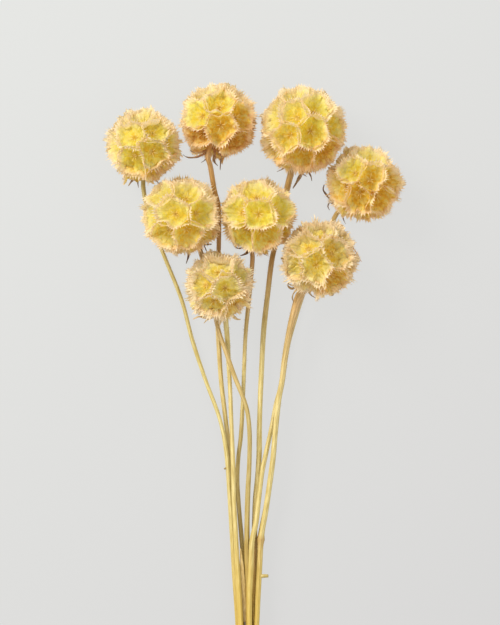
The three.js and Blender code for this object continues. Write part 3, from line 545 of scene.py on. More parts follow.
headSettings = {
    "tries": 400,  # directions to choose each next cup from
    "stalkRoom": 0.15,  # how much further a cup keeps from the stalk than from another cup
    "settleSteps": 40,
    "settlePush": 0.012,
    "bareBase": math.radians(27),  # half angle round the stalk that the rims leave free
    "floorRoom": 0.05,  # what the lowest rims keep from the surface
    "headRoom": 0.9,  # how far a rim may pass the plane in which two heads meet
    "easeFrom": 0.88,  # and from which share of that way it bends for it
}


def cupDirections(stem):
    head = headSettings
    base = unit(stem["base"])
    radius = stem["radius"]
    found = [
        unit((x / radius, y / radius, math.sqrt(max(0, 1 - (x * x + y * y) / radius ** 2)))) for x, y in stem["shown"]
    ]
    shown = len(found)
    golden = math.pi * (3 - math.sqrt(5))
    order = np.arange(head["tries"])
    height = 1 - (2 * order + 1) / head["tries"]
    ring = np.sqrt(1 - height ** 2)
    candidates = np.stack((ring * np.cos(golden * order), ring * np.sin(golden * order), height), -1)
    while len(found) < stem["cups"]:
        room = np.arccos(np.clip(candidates @ np.array(found).T, -1, 1)).min(1)
        room = np.minimum(room, np.arccos(np.clip(candidates @ base, -1, 1)) - head["stalkRoom"])
        found.append(candidates[np.argmax(room)].copy())
    found = np.array(found)
    for _ in range(head["settleSteps"]):
        for i in range(shown, len(found)):
            away = found[i] - np.vstack((np.delete(found, i, 0), base))
            push = (away / (np.linalg.norm(away, axis=1) ** 4)[:, None]).sum(0)
            found[i] = unit(found[i] + push * head["settlePush"])
    return found


def rimAngles(axis, sides, others, over, base):
    # Half angles of a rim, and how much of it is tucked under a neighbour
    cup = cupSettings
    angles = np.full(len(sides), np.interp(axis[2], cup["widestAt"], cup["widest"]))
    tucked = np.zeros(len(sides))
    between = np.arccos(np.clip(others @ axis, -1, 1))
    reaches = list(zip(others, between * np.where(over, 0.5 + cup["lap"], 0.5 - cup["tuck"]), ~over))
    reaches.append((base, math.acos(np.clip(np.dot(axis, base), -1, 1)) - headSettings["bareBase"], False))
    for other, reach, under in reaches:
        towards, _ = squareTo(axis, other)
        facing = sides @ towards
        pressed = np.arctan(math.tan(reach) / np.maximum(facing, 0.01))
        nearer = (facing > 0.01) & (reach < math.pi / 2) & (pressed < angles)
        angles = np.where(nearer, pressed, angles)
        tucked = np.where(nearer, float(under), tucked)
    return np.maximum(angles, cup["narrowest"]), tucked


def bendClear(stem, points):
    # Draws points of a head back to where the surface or a touching neighbour head begins
    centre = np.array(stem["centre"])
    ease = headSettings["easeFrom"]
    for other in stems:
        if other is stem:
            continue
        between = np.array(other["centre"]) - centre
        distance = np.linalg.norm(between)
        reach = distance * stem["radius"] / (stem["radius"] + other["radius"]) + headSettings["headRoom"]
        beyond = points @ (between / distance) / reach
        eased = np.where(beyond > ease, ease + (1 - ease) * np.tanh((beyond - ease) / (1 - ease)), beyond)
        points = points * np.where(beyond > ease, eased / np.maximum(beyond, 0.5), 1)[:, None]
    beyond = -points[:, 2] / (centre[2] - headSettings["floorRoom"])
    return points / np.maximum(beyond, 1)[:, None]


# Cups

cupSettings = {
    "rimShare": 0.46,  # half the width of a cup, as a share of the head's radius
    "nerveSpacing": 1.2,  # along the rim
    "nerveShares": (0.0, 0.14, 0.5, 0.86),  # where the columns of the mesh stand between two nerves
    "nerveShades": (1.0, 0.3, 0.0, 0.3),  # how much each of them belongs to a nerve
    "slits": (0.0, 0.15, 1.0, 0.15),  # how deep the rim is slit there
    "teeth": (1.0, 0.0, 0.0, 0.0),  # and how far it stands out
    "toothLengths": (0.6, 1.25),  # from the shortest tooth to the longest
    "rings": 9,
    "widest": (math.radians(30), math.radians(34)),  # half angle of a rim at the head's side and on its top
    "widestAt": (0.3, 0.7),  # how far up the head those two hold, as shares of its radius
    "narrowest": 0.12,  # and the least that its neighbours leave it
    "lap": 0.06,  # how far beyond the middle a rim reaches over its neighbour, as a share of their distance
    "tuck": -0.02,  # how far short of the middle the neighbour's rim then ends; below nothing, beyond it
    "tuckDepth": 0.05,  # and how much lower it lies, as a share of the head's radius
    "calmed": {"waves": 0.8, "folds": 0.7, "teeth": 0.85, "creases": 0.6},  # which shares of these it loses there
    "rounding": 26,  # its corners are rounded over two parts in so many of its round
    "uneven": (0.06, 0.04, 0.014),  # its outline's waves, two and five to the round, and its raggedness
    "dents": (0, 0.12, 0.22, 0.34),  # how far one place of it may be folded in, as a share of its half angle
    "dentWidth": 0.45,
    "rimReach": (0.985, 1.015),  # how far from the head's centre it lies, and at most, as shares of the radius
    "layer": 0.015,  # by how much some cups stand out more than others
    "ripples": (0.02, 0.015, 0.12),  # the rise of a rim's waves, three and seven to the round, and of its dent
    "tilt": 0.06,  # how far a bowl tips, its side away from the upper left raised
    "tiltAway": (0.6, -0.7, 0.2),
    "tiltChance": 0.5,  # how far that way strays
    "tiltShares": (0.4, 1.3),  # from the least tipped bowl to the most
    "round": 0.04,  # how much further the rims reach that pass above and below the head's widest girth
    "roundAt": 0.4,  # how far above and below, as a share of the radius
    "roundWidth": 0.18,
    "rimShade": 0.93,  # where on the scale of the dyes the rim stands, its teeth go on to 1
    "floorShare": 0.62,  # how far from the head's centre the hollow's floor lies
    "floorChance": (-0.04, 0.03),
    "throat": 0.9,  # radius of the floor
    "throatDepth": 0.3,
    "bulge": (1.7, 2.6),  # how late the bowl's wall rises
    "levelled": 0.25,  # and how much it levels off again at the rim
    "pleat": 0.19,  # how far the skin sinks between two nerves
    "notch": 0.8,  # how deep the rim is slit between two nerves
    "tooth": 0.95,  # and how far a nerve stands out of it
    "toothLift": 0.85,  # how steeply, as a share of the wall's own rise
    "lip": 0.05,  # breadth of the rim's last row without them
    "crumple": 0.85,  # height of the creases
    "inner": 0.75,  # how much higher they are halfway up the bowl, as a share of that
    "sideways": 0.4,  # how far they push the skin along the globe, as a share of it too
    "elsewhere": 40,  # how far off in the pattern that push is read
    "folds": (4, 7),  # how many folds run from the throat to the rim
    "foldWidth": (0.07, 0.2),
    "foldHeight": 0.9,
    "foldRise": 1.1,  # how late a fold rises
}

creaseSettings = {
    "waves": 18,
    "lengths": ((6, 11), (3.5, 6), (2.2, 3.4)),  # long, middle and short by turns
    "sharpEvery": 4,  # one wave in so many is a sharp crease
    "sharpHeight": 1.3,
    "softHeight": 0.8,
    "heightLength": 9,  # the length of a wave with just that height; a shorter one is lower in proportion
    "share": 3,  # their sum is divided by this
}

# Dye of the cups, with painted light on it: painted shade away from the upper left and under the head, painted
# highlight on the upper left, and painted pale peach at the rims of the cups seen edge on
dyeAndLightSettings = {
    "start": -0.15,  # from the head's own tone
    "away": 1.1,  # painted shade: how much deeper the side away from the upper left, and from the key light, is
    "upperLeft": (-0.4, 0.85, 0.15),
    "atStalk": 0.9,  # and painted shade on the underside, round the stalk
    "stalkSide": 0.25,  # which cups that takes in: the cosine of their angle to the stalk is above this
    "chance": 0.2,  # by how much one cup differs from another
    "atEdge": 0.12,  # painted light: how much deeper, in peach, the rims of the cups seen edge on are, for light through them
    "pale": 0.18,  # how far a rim has bleached
    "paleChance": (-0.1, 0.15),
    "paleAway": 0.5,  # how much less on the side away from the upper left: a painted highlight on the upper left
    "paleAtEdge": 0.36,  # and how much more in the cups seen edge on: a painted paleness for light through them
    "palest": 0.75,
}


def creases(chance):
    # Low waves and sharp creases through space, the same for all the cups of a head
    settings = creaseSettings
    waves = []
    for i in range(settings["waves"]):
        direction = unit([chance.gauss(0, 1) for _ in range(3)])
        length = chance.uniform(*settings["lengths"][i % 3])
        sharp = i % settings["sharpEvery"] == 0
        waves.append((direction * fullTurn / length, chance.uniform(0, fullTurn), sharp, length))
    sharpHeight, softHeight = settings["sharpHeight"], settings["softHeight"]

    def height(points):
        total = 0
        for wave, phase, sharp, length in waves:
            rise = np.sin(points @ wave + phase)
            rise = sharpHeight - 2 * sharpHeight * np.abs(rise) if sharp else softHeight * rise
            total = total + length / settings["heightLength"] * rise
        return total / settings["share"]
    return height


def cupDyeAndLight(stem, axis, along, chance):
    # How orange and how pale each point of a cup is: its dye, with painted shade and painted highlight on it
    colouring = dyeAndLightSettings
    # painted shade and highlight: the side away from the upper left, where the key light stands, gets a deeper tone and
    # less pale
    facingAway = -sum(part * share for part, share in zip(axis, colouring["upperLeft"]))
    # painted shade under the head, round the stalk
    atStalk = max(0, np.dot(axis, unit(stem["base"])) - colouring["stalkSide"])
    tone = stem["tone"] + colouring["start"] + colouring["away"] * facingAway + colouring["atStalk"] * atStalk
    tone = np.clip(tone + chance.uniform(-colouring["chance"], colouring["chance"]), 0, stem.get("deepest", 1))
    # painted peach at the rims of the cups seen edge on, for light through them
    tone = tone + colouring["atEdge"] * (1 - abs(axis[2])) * along ** 2
    # painted highlight: paler towards the upper left
    bleach = colouring["pale"] + stem.get("bleach", 0) + chance.uniform(*colouring["paleChance"]) - colouring["paleAway"] * facingAway
    # painted paleness in the cups seen edge on, for light through them
    bleach += colouring["paleAtEdge"] * min(1, 1 - axis[2]) ** 1.5
    return tone, np.clip(bleach * (0.08 + along ** 1.5), 0, colouring["palest"])


def makeCup(stem, axis, others, over, crease, chance):
    # A cup as it stands among the others of its head; over says which of those its own rim covers
    cup = cupSettings
    base = unit(stem["base"])
    radius = stem["radius"]
    first, second = squareTo(axis, np.array((0, 0, 1.0)) if abs(axis[2]) < 0.9 else base)
    nerves = round(fullTurn * radius * cup["rimShare"] / cup["nerveSpacing"])
    perNerve = len(cup["nerveShares"])
    columns = nerves * perNerve
    turns = fullTurn * (np.repeat(np.arange(nerves), perNerve) + np.tile(cup["nerveShares"], nerves)) / nerves
    sides = np.outer(np.cos(turns), first) + np.outer(np.sin(turns), second)

    # The rim: pressed by its neighbours, rounded at its corners, uneven and here and there folded in
    window = 2 * round(columns / cup["rounding"]) + 1
    evenly = np.ones(window) / window
    edge, tucked = (
        np.convolve(np.concatenate((row[-window:], row, row[:window])), evenly, "same")[window:-window]
        for row in rimAngles(axis, sides, others, over, base)
    )
    phases = [chance.uniform(0, fullTurn) for _ in range(7)]  # the last two are spare
    ragged = np.array([chance.uniform(-1, 1) for _ in range(nerves)])
    ragged = (ragged + np.roll(ragged, 1) + 0.6 * np.roll(ragged, 2)).repeat(perNerve)
    crumpled = stem.get("crumpled", 1)
    broad, narrow, rough = cup["uneven"]
    uneven = broad * np.sin(2 * turns + phases[0]) + narrow * np.sin(5 * turns + phases[1]) + rough * ragged
    edge *= 1 + crumpled * uneven
    fromDent = (turns - phases[2] + math.pi) % fullTurn - math.pi
    folds = 0
    for _ in range(chance.randint(*cup["folds"])):
        away = (turns - chance.uniform(0, fullTurn) + math.pi) % fullTurn - math.pi
        width = chance.uniform(*cup["foldWidth"])
        folds = folds + chance.choice((-1, 1)) * chance.uniform(0.5, 1) * np.exp(-(away / width) ** 2)
    dent = np.exp(-(fromDent / cup["dentWidth"]) ** 2) * chance.choice(cup["dents"]) * crumpled
    edge *= 1 - dent
    layer = chance.uniform(-cup["layer"], cup["layer"])
    broad, narrow, atDent = cup["ripples"]
    waves = broad * np.sin(3 * turns + phases[3]) + narrow * np.sin(7 * turns + phases[4]) + atDent * dent
    x, y, z = cup["tiltAway"]
    raised = unit((x + chance.gauss(0, cup["tiltChance"]), y + chance.gauss(0, cup["tiltChance"]), z))
    waves += cup["tilt"] * chance.uniform(*cup["tiltShares"]) * max(0, axis[2]) * (sides @ raised)
    usual, most = cup["rimReach"]
    waves *= 1 - cup["calmed"]["waves"] * tucked
    reach = radius * (usual + layer + waves - cup["tuckDepth"] * tucked)
    level = np.cos(edge) * axis[2] + np.sin(edge) * sides[:, 2]
    reach *= 1 + cup["round"] * np.exp(-((np.abs(level) - cup["roundAt"]) / cup["roundWidth"]) ** 2)
    reach = np.minimum(reach, radius * most)
    rimHeight, rimWidth = reach * np.cos(edge), reach * np.sin(edge)
    floorHeight = radius * (cup["floorShare"] + chance.uniform(*cup["floorChance"]))

    # From the throat to the rim the skin rises like a bowl, and sinks between its nerves
    along = np.linspace(0, 1, cup["rings"] + 1)[:, None]
    width = cup["throat"] + (rimWidth - cup["throat"]) * along
    rise = (1 + cup["levelled"]) * along ** chance.uniform(*cup["bulge"]) - cup["levelled"] * along ** 4
    height = floorHeight + (rimHeight - floorHeight) * rise
    height = height + cup["pleat"] * stem.get("pleated", 1) * along * np.cos(nerves * turns)
    folds = cup["foldHeight"] * crumpled * folds * (1 - cup["calmed"]["folds"] * tucked)
    height = height + folds * along ** cup["foldRise"]

    # The nerves stand out of the rim as fine teeth, and the skin is slit between them
    lengths = np.array([chance.uniform(*cup["toothLengths"]) for _ in range(nerves)])
    lengths = lengths.repeat(perNerve) * (1 - cup["calmed"]["teeth"] * tucked)
    outward = np.stack((rimWidth - cup["throat"], cup["toothLift"] * (rimHeight - floorHeight)))
    outward = outward / np.linalg.norm(outward, axis=0)
    slit = np.tile(cup["slits"], nerves) * lengths * cup["notch"]
    tooth = np.tile(cup["teeth"], nerves) * lengths * cup["tooth"]
    rimRow = np.stack((rimWidth, height[-1])) - outward * slit
    width = np.vstack((width[:-1], rimRow[0], rimRow[0] + outward[0] * (tooth + cup["lip"])))
    height = np.vstack((height[:-1], rimRow[1], rimRow[1] + outward[1] * (tooth + cup["lip"])))

    # All of it is crumpled, most of all halfway up, and closed by a point under the throat
    rows = len(width)
    points = height.reshape(-1, 1) * axis + width.reshape(-1, 1) * np.tile(sides, (rows, 1))
    shade = np.repeat(np.append(along[:, 0], 1) * cup["rimShade"], columns)
    loose = np.clip(shade * 1.6, 0, 1) * (1 - cup["calmed"]["creases"] * np.tile(tucked, rows))
    inner = 1 + cup["inner"] * np.sin(math.pi * shade)
    aside = (cup["sideways"] * crease(points + shift) for shift in (cup["elsewhere"], -cup["elsewhere"]))
    shifts = loose * np.stack((inner * crease(points), *aside))
    points += cup["crumple"] * crumpled * shifts.T @ np.stack((axis, first, second))
    points = np.vstack((points, axis * (floorHeight - cup["throatDepth"])))
    faces = gridFaces(rows, columns)
    faces += [(rows * columns, (k + 1) % columns, k) for k in range(columns)]
    alongValues = np.append(shade, 0.0)
    alongValues[-1 - columns:-1] = 0.94 + 0.06 * np.clip(tooth, 0, 1)
    nerveValues = np.append(np.tile(cup["nerveShades"], nerves * rows), 0.0)
    tone, pale = cupDyeAndLight(stem, axis, alongValues, chance)
    points = bendClear(stem, points) + np.array(stem["centre"])
    return points, faces, {"along": alongValues, "nerve": nerveValues, "tone": tone, "pale": pale}


# Fruits

fruitSettings = {
    "coreShare": 0.56,  # the crowded fruit bases, as a share of the head's radius
    "coreRows": 25,
    "coreColumns": 40,
    "heights": (0.48, 0.51, 0.54, 0.57, 0.59),  # of a fruit's rings, as shares of the head's radius
    "widths": (1.2, 1.4, 1.3, 1.05, 0.9),  # and their radii
    "sides": 16,
    "ribs": 8,
    "ribDepth": 0.16,
    "ribShades": (0.5, 0.9),  # of grooves and ribs, the grooves darker as painted shade
    "headTone": 0.3,  # how much of the head's own tone the fruits take
    "stalkTone": 1.5,  # and how much deeper they are round the stalk: painted shade under the head
    "stalkSide": 0.1,
    "awns": 5,  # bristles in a cup
    "awnRoot": (0.2, 0.35),  # how far below the cup's floor and beside its middle one begins
    "awnTurn": 0.2,  # how far it strays from its fifth of the round
    "awnLean": (0.55, 0.95),
    "awnLength": 2.9,
    "awnShares": (0.7, 1.1),  # from the shortest to the longest
    "awnRadius": 0.17,
    "awnSides": 4,
    "awnPlaces": (0, 0.3, 0.65, 1),  # where along it its four rings stand
    "awnWidths": (1, 0.85, 0.6, 0.2),  # how thick it is there
    "awnShades": (0.3, 0.6, 0.85, 0.9),  # and how pale
    "strayRadii": (0.35, 0.12),  # of a bristle that stands out of the head, at its root and tip
    "straySides": 6,
    "strayShade": 0.1,
    "strayTone": 2.0,
}
sideways = unit((0.3, 0.5, 0.8))  # any way that no fruit points in


def fruitTone(stem, towards):
    # Deeper in the orange heads, and near the stalk, where it is painted shade under the head
    fruit = fruitSettings
    atStalk = np.maximum(0, towards @ unit(stem["base"]) - fruit["stalkSide"])
    return fruit["headTone"] * stem["tone"] + fruit["stalkTone"] * atStalk


def makeStar(stem, axis, chance):
    # The bristles on the floor of a cup, darker at their roots
    fruit = fruitSettings
    first, second = squareTo(axis, sideways)
    below, beside = fruit["awnRoot"]
    start = axis * (stem["radius"] * cupSettings["floorShare"] - below)
    turn = chance.uniform(0, fullTurn)
    parts = []
    for k in range(fruit["awns"]):
        angle = turn + fullTurn * k / fruit["awns"] + chance.uniform(-fruit["awnTurn"], fruit["awnTurn"])
        side = math.cos(angle) * first + math.sin(angle) * second
        lean = chance.uniform(*fruit["awnLean"])
        length = fruit["awnLength"] * chance.uniform(*fruit["awnShares"])
        line = [
            start + axis * length * s * (1 - 0.25 * s) + side * (beside + length * lean * s ** 1.3)
            for s in fruit["awnPlaces"]
        ]
        radii = [fruit["awnRadius"] * share for share in fruit["awnWidths"]]
        points, faces = sweep(line, radii, fruit["awnSides"], near=side)
        values = {"along": np.repeat(fruit["awnShades"], fruit["awnSides"]), "tone": np.zeros(len(points))}
        parts.append((points + stem["centre"], faces, values))
    return parts


def makeFruit(stem, axis):
    # The ribbed body of a fruit, from the core up to its cup
    fruit = fruitSettings
    line = [axis * (height * stem["radius"]) for height in fruit["heights"]]
    sides = fruit["sides"]
    points, faces = sweep(
        line, fruit["widths"], sides, near=sideways, ridges=fruit["ribs"], ridgeDepth=fruit["ribDepth"],
    )
    groove, rib = fruit["ribShades"]
    # painted shade: darker in the grooves between the ribs
    ribs = np.where(np.cos(fruit["ribs"] * fullTurn * np.arange(sides) / sides) > 0, rib, groove)
    tone = np.full(len(points), fruitTone(stem, axis))
    return points + stem["centre"], faces, {"along": np.tile(ribs, len(line)), "tone": tone}


def makeCore(stem, directions):
    # The crowded bases of the fruits, as a bumpy globe
    rows, columns = fruitSettings["coreRows"], fruitSettings["coreColumns"]
    steps = np.linspace(0.001, math.pi - 0.001, rows)[:, None]
    turns = fullTurn * np.arange(columns) / columns
    globe = np.stack((np.sin(steps) * np.cos(turns), np.sin(steps) * np.sin(turns), np.cos(steps) + 0 * turns), -1)
    globe = globe.reshape(-1, 3)
    bump = np.clip(((globe @ directions.T).max(1) - 0.85) / 0.15, 0, 1)
    radii = stem["radius"] * fruitSettings["coreShare"] * (0.93 + 0.07 * bump)
    faces = [face[::-1] for face in gridFaces(rows, columns)]
    faces.append(tuple(range(columns)))
    faces.append(tuple(range((rows - 1) * columns, rows * columns))[::-1])
    # lighter on the bumps, with painted shade in the hollows between them
    values = {"along": 0.55 + 0.3 * bump, "tone": fruitTone(stem, globe)}
    return globe * radii[:, None] + stem["centre"], faces, values


def makeStray(stray):
    # A long bristle that stands out of a head
    fruit = fruitSettings
    line = smoothLine(stray, 1)
    points, faces = sweep(line, np.linspace(*fruit["strayRadii"], len(line)), fruit["straySides"])
    count = len(points)
    return points, faces, {"along": np.full(count, fruit["strayShade"]), "tone": np.full(count, fruit["strayTone"])}


# Stalks and bracts

stalkSettings = {
    "seatShares": (0.3, 0.62, 0.95),  # where its first points lie in the head, as shares of the head's radius
    "taperLength": 18,  # over which it loses its thicker top
    "footBegins": 20,  # y below which it grows thicker towards its cut end
    "footReached": -50,
    "swells": ((0.025, 11), (0.02, 4.3)),  # height and length of the slow and the quick waves in its thickness
    "step": 2.5,
    "sides": 32,
    "ridges": 7,
    "ridgeDepth": 0.07,
    "streakRadius": 1.3,  # the pattern of its skin is drawn on a rod of this radius
    "streakStretch": 14,  # and drawn out so many times lengthwise
    "yellowed": 0.75,  # how yellow its foot is
    "yellowAt": -48,  # y about which that begins
    "yellowRun": 12,
    "hairs": 420,  # stiff hairs
    "hairsWithin": 28,  # most of them this far below the head
    "hairsBelow": 0.06,  # how dense they are further down, as a share of that
    "hairLength": (0.4, 1.3),
    "hairLean": (-0.5, 0.2),  # towards the head and towards the foot
    "hairRadius": 0.04,
    "spurSides": 12,
}


def stalkLine(stem):
    # From inside the head, out of it by its base, and down to the cut end
    base = unit(stem["base"])
    centre = np.array(stem["centre"])
    inside = [centre + base * stem["radius"] * share for share in stalkSettings["seatShares"]]
    return smoothLine(inside + list(stem["route"]), stalkSettings["step"])


def makeHairs(line, radii, below, chance):
    # Stiff tapered hairs standing off the skin; below is how far each ring of the stalk is under the head
    settings = stalkSettings
    rings = np.flatnonzero((below > 0) & (line[:, 1] > settings["footBegins"]))
    weights = np.exp(-below[rings] / settings["hairsWithin"]) + settings["hairsBelow"]
    points, faces = [], []
    for i in chance.choices(rings.tolist(), weights.tolist(), k=settings["hairs"]):
        direction = unit(line[i + 1] - line[i])
        first, second = squareTo(direction, np.array((0, 0, 1.0)))
        angle = chance.uniform(0, fullTurn)
        out = math.cos(angle) * first + math.sin(angle) * second
        root = line[i] + (line[i + 1] - line[i]) * chance.random() + out * radii[i] * 0.85
        tip = root + (out + direction * chance.uniform(*settings["hairLean"])) * chance.uniform(*settings["hairLength"])
        tip[2] = max(tip[2], 0.05)  # those underneath bend along the floor
        aside = np.cross(direction, out)
        start = len(points)
        for turn in (0, fullTurn / 3, fullTurn * 2 / 3):
            points.append(root + (math.cos(turn) * direction + math.sin(turn) * aside) * settings["hairRadius"])
        points.append(tip)
        faces += [tuple(start + k for k in face) for face in ((2, 1, 0), (0, 1, 3), (1, 2, 3), (2, 0, 3))]
    count = len(points)
    return np.array(points), faces, {
        "along": np.full((count, 3), 0.6), "brown": np.full(count, 0.3), "dull": np.zeros(count),
        "foot": np.zeros(count),
    }


def makeStalk(stem, chance):
    # The ridged stalk with its hairs, and what is left of side shoots and leaves
    settings = stalkSettings
    line = stalkLine(stem)
    travelled = np.concatenate(([0], np.cumsum(np.linalg.norm(np.diff(line, axis=0), axis=1))))
    fade = np.exp(-np.maximum(0, travelled - stem["radius"]) / settings["taperLength"])
    low = (settings["footBegins"] - line[:, 1]) / (settings["footBegins"] - settings["footReached"])
    top, usual, foot = stem["radii"]
    radii = usual + (top - usual) * fade + (foot - usual) * np.clip(low, 0, 1)
    phase = chance.uniform(0, fullTurn)
    swelling = 1
    for times, (rise, length) in enumerate(settings["swells"], 1):
        swelling = swelling + rise * np.sin(travelled / length + times * phase)
    radii = radii * swelling
    if "node" in stem:
        near = np.abs(line[:, 1] - stem["node"]["y"]) / stem["node"]["length"]
        radii = radii + stem["node"]["swell"] * np.exp(-near ** 2)
    sides = settings["sides"]
    points, faces = sweep(line, radii, sides, ridges=settings["ridges"], ridgeDepth=settings["ridgeDepth"], spin=0.02)
    heights, browns, dulls = zip(*stem["skin"])
    brown, dull = (np.interp(line[:, 1], heights, levels) for levels in (browns, dulls))
    yellow = settings["yellowed"] / (1 + np.exp((line[:, 1] - settings["yellowAt"]) / settings["yellowRun"]))
    turns = np.tile(np.arange(sides) / sides * fullTurn, len(line))
    place = np.stack((
        np.cos(turns) * settings["streakRadius"], np.sin(turns) * settings["streakRadius"],
        np.repeat(travelled / settings["streakStretch"] + phase, sides),
    ), -1)
    values = {name: np.repeat(row, sides) for name, row in (("brown", brown), ("dull", dull), ("foot", yellow))}
    parts = [(points, faces, {"along": place, **values})]
    parts.append(makeHairs(line, radii, travelled - stem["radius"], chance))
    for spur in stem.get("spurs", []):
        spurLine = smoothLine(spur["line"], 1)
        shares = np.linspace(0, 1, len(spurLine))
        widths = np.interp(shares, np.linspace(0, 1, len(spur["radii"])), spur["radii"])
        points, faces = sweep(spurLine, widths, settings["spurSides"], flat=spur.get("flat", 1))
        count = len(points)
        parts.append((points, faces, {
            "along": points * (0.6, 0.15, 0.6), "brown": np.full(count, spur["brown"]),
            "dull": np.full(count, spur.get("dull", 0.1)), "foot": np.full(count, 0.1),
        }))
    return parts


bractSettings = {
    "width": 2.0,
    "widthShares": (0.8, 1.15),  # from the narrowest bract to the widest
    "outline": ((0, 0.3, 0.75, 1), (0.7, 1.0, 0.6, 0.16)),  # how broad it is at some places along it
    "waves": (0.12, 23),  # height and number of the waves in its edge
    "thickness": 0.95,
    "twist": 1.6,
    "step": 0.5,
    "sides": 8,
}


def makeBracts(stem, chance):
    # Narrow blades that shrivelled, twisted and curled as they dried
    settings = bractSettings
    parts = []
    for route in stem["bracts"]:
        line = smoothLine(route, settings["step"])
        share = np.linspace(0, 1, len(line))
        width = settings["width"] * chance.uniform(*settings["widthShares"])
        widths = width / 2 * np.interp(share, *settings["outline"])
        high, often = settings["waves"]
        widths *= 1 + high * np.sin(share * often + chance.uniform(0, fullTurn))
        points, faces = sweep(
            line, widths, settings["sides"], flat=settings["thickness"] / settings["width"], near=unit(stem["base"]),
            twist=chance.uniform(-settings["twist"], settings["twist"]),
        )
        values = {"along": np.repeat(share, settings["sides"]), "tone": np.full(len(points), stem["paleBracts"])}
        parts.append((points, faces, values))
    return parts


# The tie

tieSettings = {
    "centre": (-2.1, -84.2, 6.4),
    "inside": (5.75, 5.1),  # half the width and height of the space for the stalks
    "twine": 1.5,  # its thickness
    "strands": 3,
    "strandDepth": 0.14,
    "strandShare": 0.93,  # the middle radius of the lobed twine, as a share of its full one
    "strandTurn": 0.45,  # turn of the strands from one ring of points to the next
    "sides": 18,
    "wraps": 3,
    "wrapSteps": 90,
    "pressed": 0.2,  # by how much of a thickness all the turns lie closer
    "knot": (2.1, 1.1, 0.55),  # half its width, length and height
    "knotRise": 1.1,  # of its middle above the space for the stalks, in thicknesses
    "knotTilts": (0.5, -0.6),  # of its two loops
    "loopSteps": 40,
    "tailStep": 0.5,
    "tails": [(-6.5, 0.4, 9.5, 15), (5.0, -0.6, 9.2, 13)],  # how far aside, up and down an end goes, and its length
}


def makeTwine(line):
    # Three strands twisted together, drawn as one lobed tube
    tie = tieSettings
    sides, strands = tie["sides"], tie["strands"]
    radii = np.full(len(line), tie["twine"] / 2 * tie["strandShare"])
    points, faces = sweep(line, radii, sides, ridges=strands, ridgeDepth=tie["strandDepth"], spin=tie["strandTurn"])
    ring = np.arange(len(line)).repeat(sides)
    side = np.tile(np.arange(sides), len(line))
    # painted shade: the colour follows the strands, dark in the hollows between them
    return points, faces, {"along": 0.5 + 0.5 * np.cos(strands * fullTurn * side / sides + tie["strandTurn"] * ring)}


def makeTie():
    # Three turns of twine with a knot on top, two loops of it, and two loose ends
    tie = tieSettings
    centre = np.array(tie["centre"])
    radius = tie["twine"] / 2
    steps = tie["wrapSteps"] * tie["wraps"]
    turns = math.pi / 2 + fullTurn * np.arange(steps + 1) / tie["wrapSteps"]
    along = (np.arange(steps + 1) / steps - 0.5) * tie["twine"] * (tie["wraps"] - tie["pressed"])
    wrap = np.stack((
        centre[0] + np.cos(turns) * (tie["inside"][0] + radius),
        centre[1] + along,
        np.maximum(centre[2] + np.sin(turns) * (tie["inside"][1] + radius), radius),
    ), -1)
    parts = [makeTwine(wrap)]
    knotAt = centre + (0, 0, tie["inside"][1] + tie["twine"] * tie["knotRise"])
    for x, bend, drop, length in tie["tails"]:
        tail = smoothLine([
            knotAt, knotAt + (x * 0.6, -length * 0.35, bend), knotAt + (x * 1.2, -length * 0.7, -drop * 0.4),
            knotAt + (x * 1.7, -length, -drop),
        ], tie["tailStep"])
        parts.append(makeTwine(tail))
    turn = fullTurn * np.arange(tie["loopSteps"] + 1) / tie["loopSteps"]
    across, deep, high = tie["knot"]
    for tilt in tie["knotTilts"]:
        loop = np.stack((across * np.cos(turn), deep * np.sin(turn), high * np.sin(2 * turn + tilt)), -1)
        loop = loop @ np.array(((math.cos(tilt), math.sin(tilt), 0), (-math.sin(tilt), math.cos(tilt), 0), (0, 0, 1)))
        parts.append(makeTwine(loop + knotAt))
    return parts


# Making the pieces

cupPaper = makeMaterial("driedDyedCupPaper", cupPaperShader, cupFinish)
fruitSkin = makeMaterial("driedFruitSkin", fruitSkinShader, fruitFinish)
stalkSkin = makeMaterial("driedStalkSkin", stalkSkinShader, stalkFinish)
bractSkin = makeMaterial("driedBractSkin", bractSkinShader, bractFinish)
twineFibre = makeMaterial("spunJuteTwine", twineFibreShader, twineFinish)
print("materials made")

for number, stem in enumerate(stems, 1):
    chance = random.Random(100 + number)
    directions = cupDirections(stem)
    crease = creases(chance)
    shown = len(stem["shown"])
    ranks = np.array([i if i < shown else shown + chance.random() for i in range(len(directions))])
    cups = [
        makeCup(stem, axis, np.delete(directions, i, 0), ranks[i] < np.delete(ranks, i), crease, chance)
        for i, axis in enumerate(directions)
    ]
    makePiece(f"cups.{number}", cups, cupPaper, f"head_{number}")
    fruits = [makeCore(stem, directions)]
    for axis in directions:
        fruits.append(makeFruit(stem, axis))
        fruits.extend(makeStar(stem, axis, chance))
    fruits.extend(makeStray(stray) for stray in stem.get("strays", []))
    makePiece(f"fruits.{number}", fruits, fruitSkin, f"head_{number}")
    makePiece(f"stalk.{number}", makeStalk(stem, chance), stalkSkin, f"stalk_{number}")
    makePiece(f"bracts.{number}", makeBracts(stem, chance), bractSkin, f"stalk_{number}")
print("heads and stalks made")

makePiece("twine", makeTie(), twineFibre, "tie")
print("tie made")


# Floor, light and camera

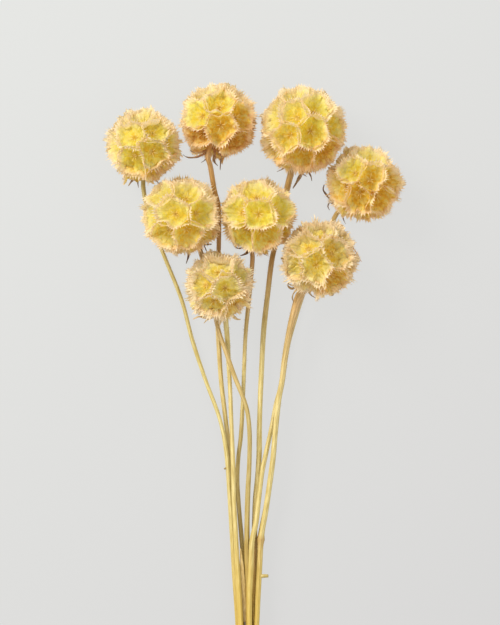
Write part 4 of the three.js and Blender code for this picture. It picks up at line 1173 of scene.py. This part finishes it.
stageSettings = {
    "floorHalf": 3.0,  # metres, as in the places and sizes of the lights
    "floor": "#3c3c3c",
    "glow": [(0.0, "#e9eae7"), (1.0, "#dad9d8")],  # from beyond the heads to the right of the foot
    "glowStrength": 0.885,
    "glowWay": (0.6, -0.8, 0.0),
    "glowMiddle": -0.055,
    "glowRun": 0.42,
    "keyLight": ((-1.4, 1.3, 1.4), 1.3, 53, "#fffbf2"),  # place, width, power and colour
    "fillLight": ((1.2, -0.4, 1.6), 1.6, 6, "#f4f7ff"),
    "litPlace": (0, 0.09, 0),
    "surroundings": "#f3f4f6",
    "frameHeightPx": 625,
    "mmPerPx": 0.46,
    "frameCentre": (-1.15, 68.8),  # what the middle of the frame looks at
    "cameraHeight": 2200,  # above the plane that is drawn to scale
    "scalePlane": 12,
    "sensor": 36,
    "farthest": 20,  # metres that the camera sees
}


def lightSheetShader(add, stage):
    # A matt opal sheet lit from below, a little less towards the lower right: it hardly takes a shadow
    place = add("TexCoord", "Object")
    across = add("VectorMath", "Value", {0: place, 1: stage["glowWay"]}, operation="DOT_PRODUCT")
    run = add("MapRange", "Result", {
        "Value": across, "From Min": stage["glowMiddle"] - stage["glowRun"] / 2,
        "From Max": stage["glowMiddle"] + stage["glowRun"] / 2,
    })
    glow = add("ValToRGB", "Color", {"Fac": run}, stage["glow"])
    return add("BsdfPrincipled", 0, {
        "Base Color": linear(stage["floor"]), "Roughness": 0.9, "Specular IOR Level": 0.1,
        "Emission Color": glow, "Emission Strength": stage["glowStrength"],
    })


def makeFloor():
    mesh = bpy.data.meshes.new("floor")
    half = stageSettings["floorHalf"]
    mesh.from_pydata([(-half, -half, 0), (half, -half, 0), (half, half, 0), (-half, half, 0)], [], [(0, 1, 2, 3)])
    mesh.materials.append(makeMaterial("opalLightSheet", lightSheetShader, stageSettings))
    floor = addObject("floor", mesh)


def makeLight(name):
    place, size, power, colour = stageSettings[name]
    light = bpy.data.lights.new(name, "AREA")
    light.shape = "DISK"
    light.size = size
    light.energy = power
    light.color = linear(colour)[:3]
    lamp = addObject(name, light)
    lamp.location = place
    x, y, z = np.array(stageSettings["litPlace"]) - np.array(place)
    lamp.rotation_euler = (math.atan2(math.hypot(x, y), -z), 0, math.atan2(y, x) - math.pi / 2)


def makeCamera():
    stage = stageSettings
    camera = bpy.data.cameras.new("camera")
    camera.sensor_width = stage["sensor"]
    camera.lens = stage["sensor"] * stage["cameraHeight"] / (stage["frameHeightPx"] * stage["mmPerPx"])
    camera.clip_end = stage["farthest"]
    viewer = addObject("camera", camera)
    x, y = stage["frameCentre"]
    viewer.location = (x * mm, y * mm, (stage["cameraHeight"] + stage["scalePlane"]) * mm)
    bpy.context.scene.camera = viewer


makeFloor()
makeLight("keyLight")
makeLight("fillLight")
makeCamera()
world = bpy.data.worlds.new("studio")
world.use_nodes = True
world.node_tree.nodes["Background"].inputs["Color"].default_value = linear(stageSettings["surroundings"])
world.node_tree.nodes["Background"].inputs["Strength"].default_value = 1.0
bpy.context.scene.world = world
bpy.context.scene.view_settings.view_transform = "Standard"
print("stage made")
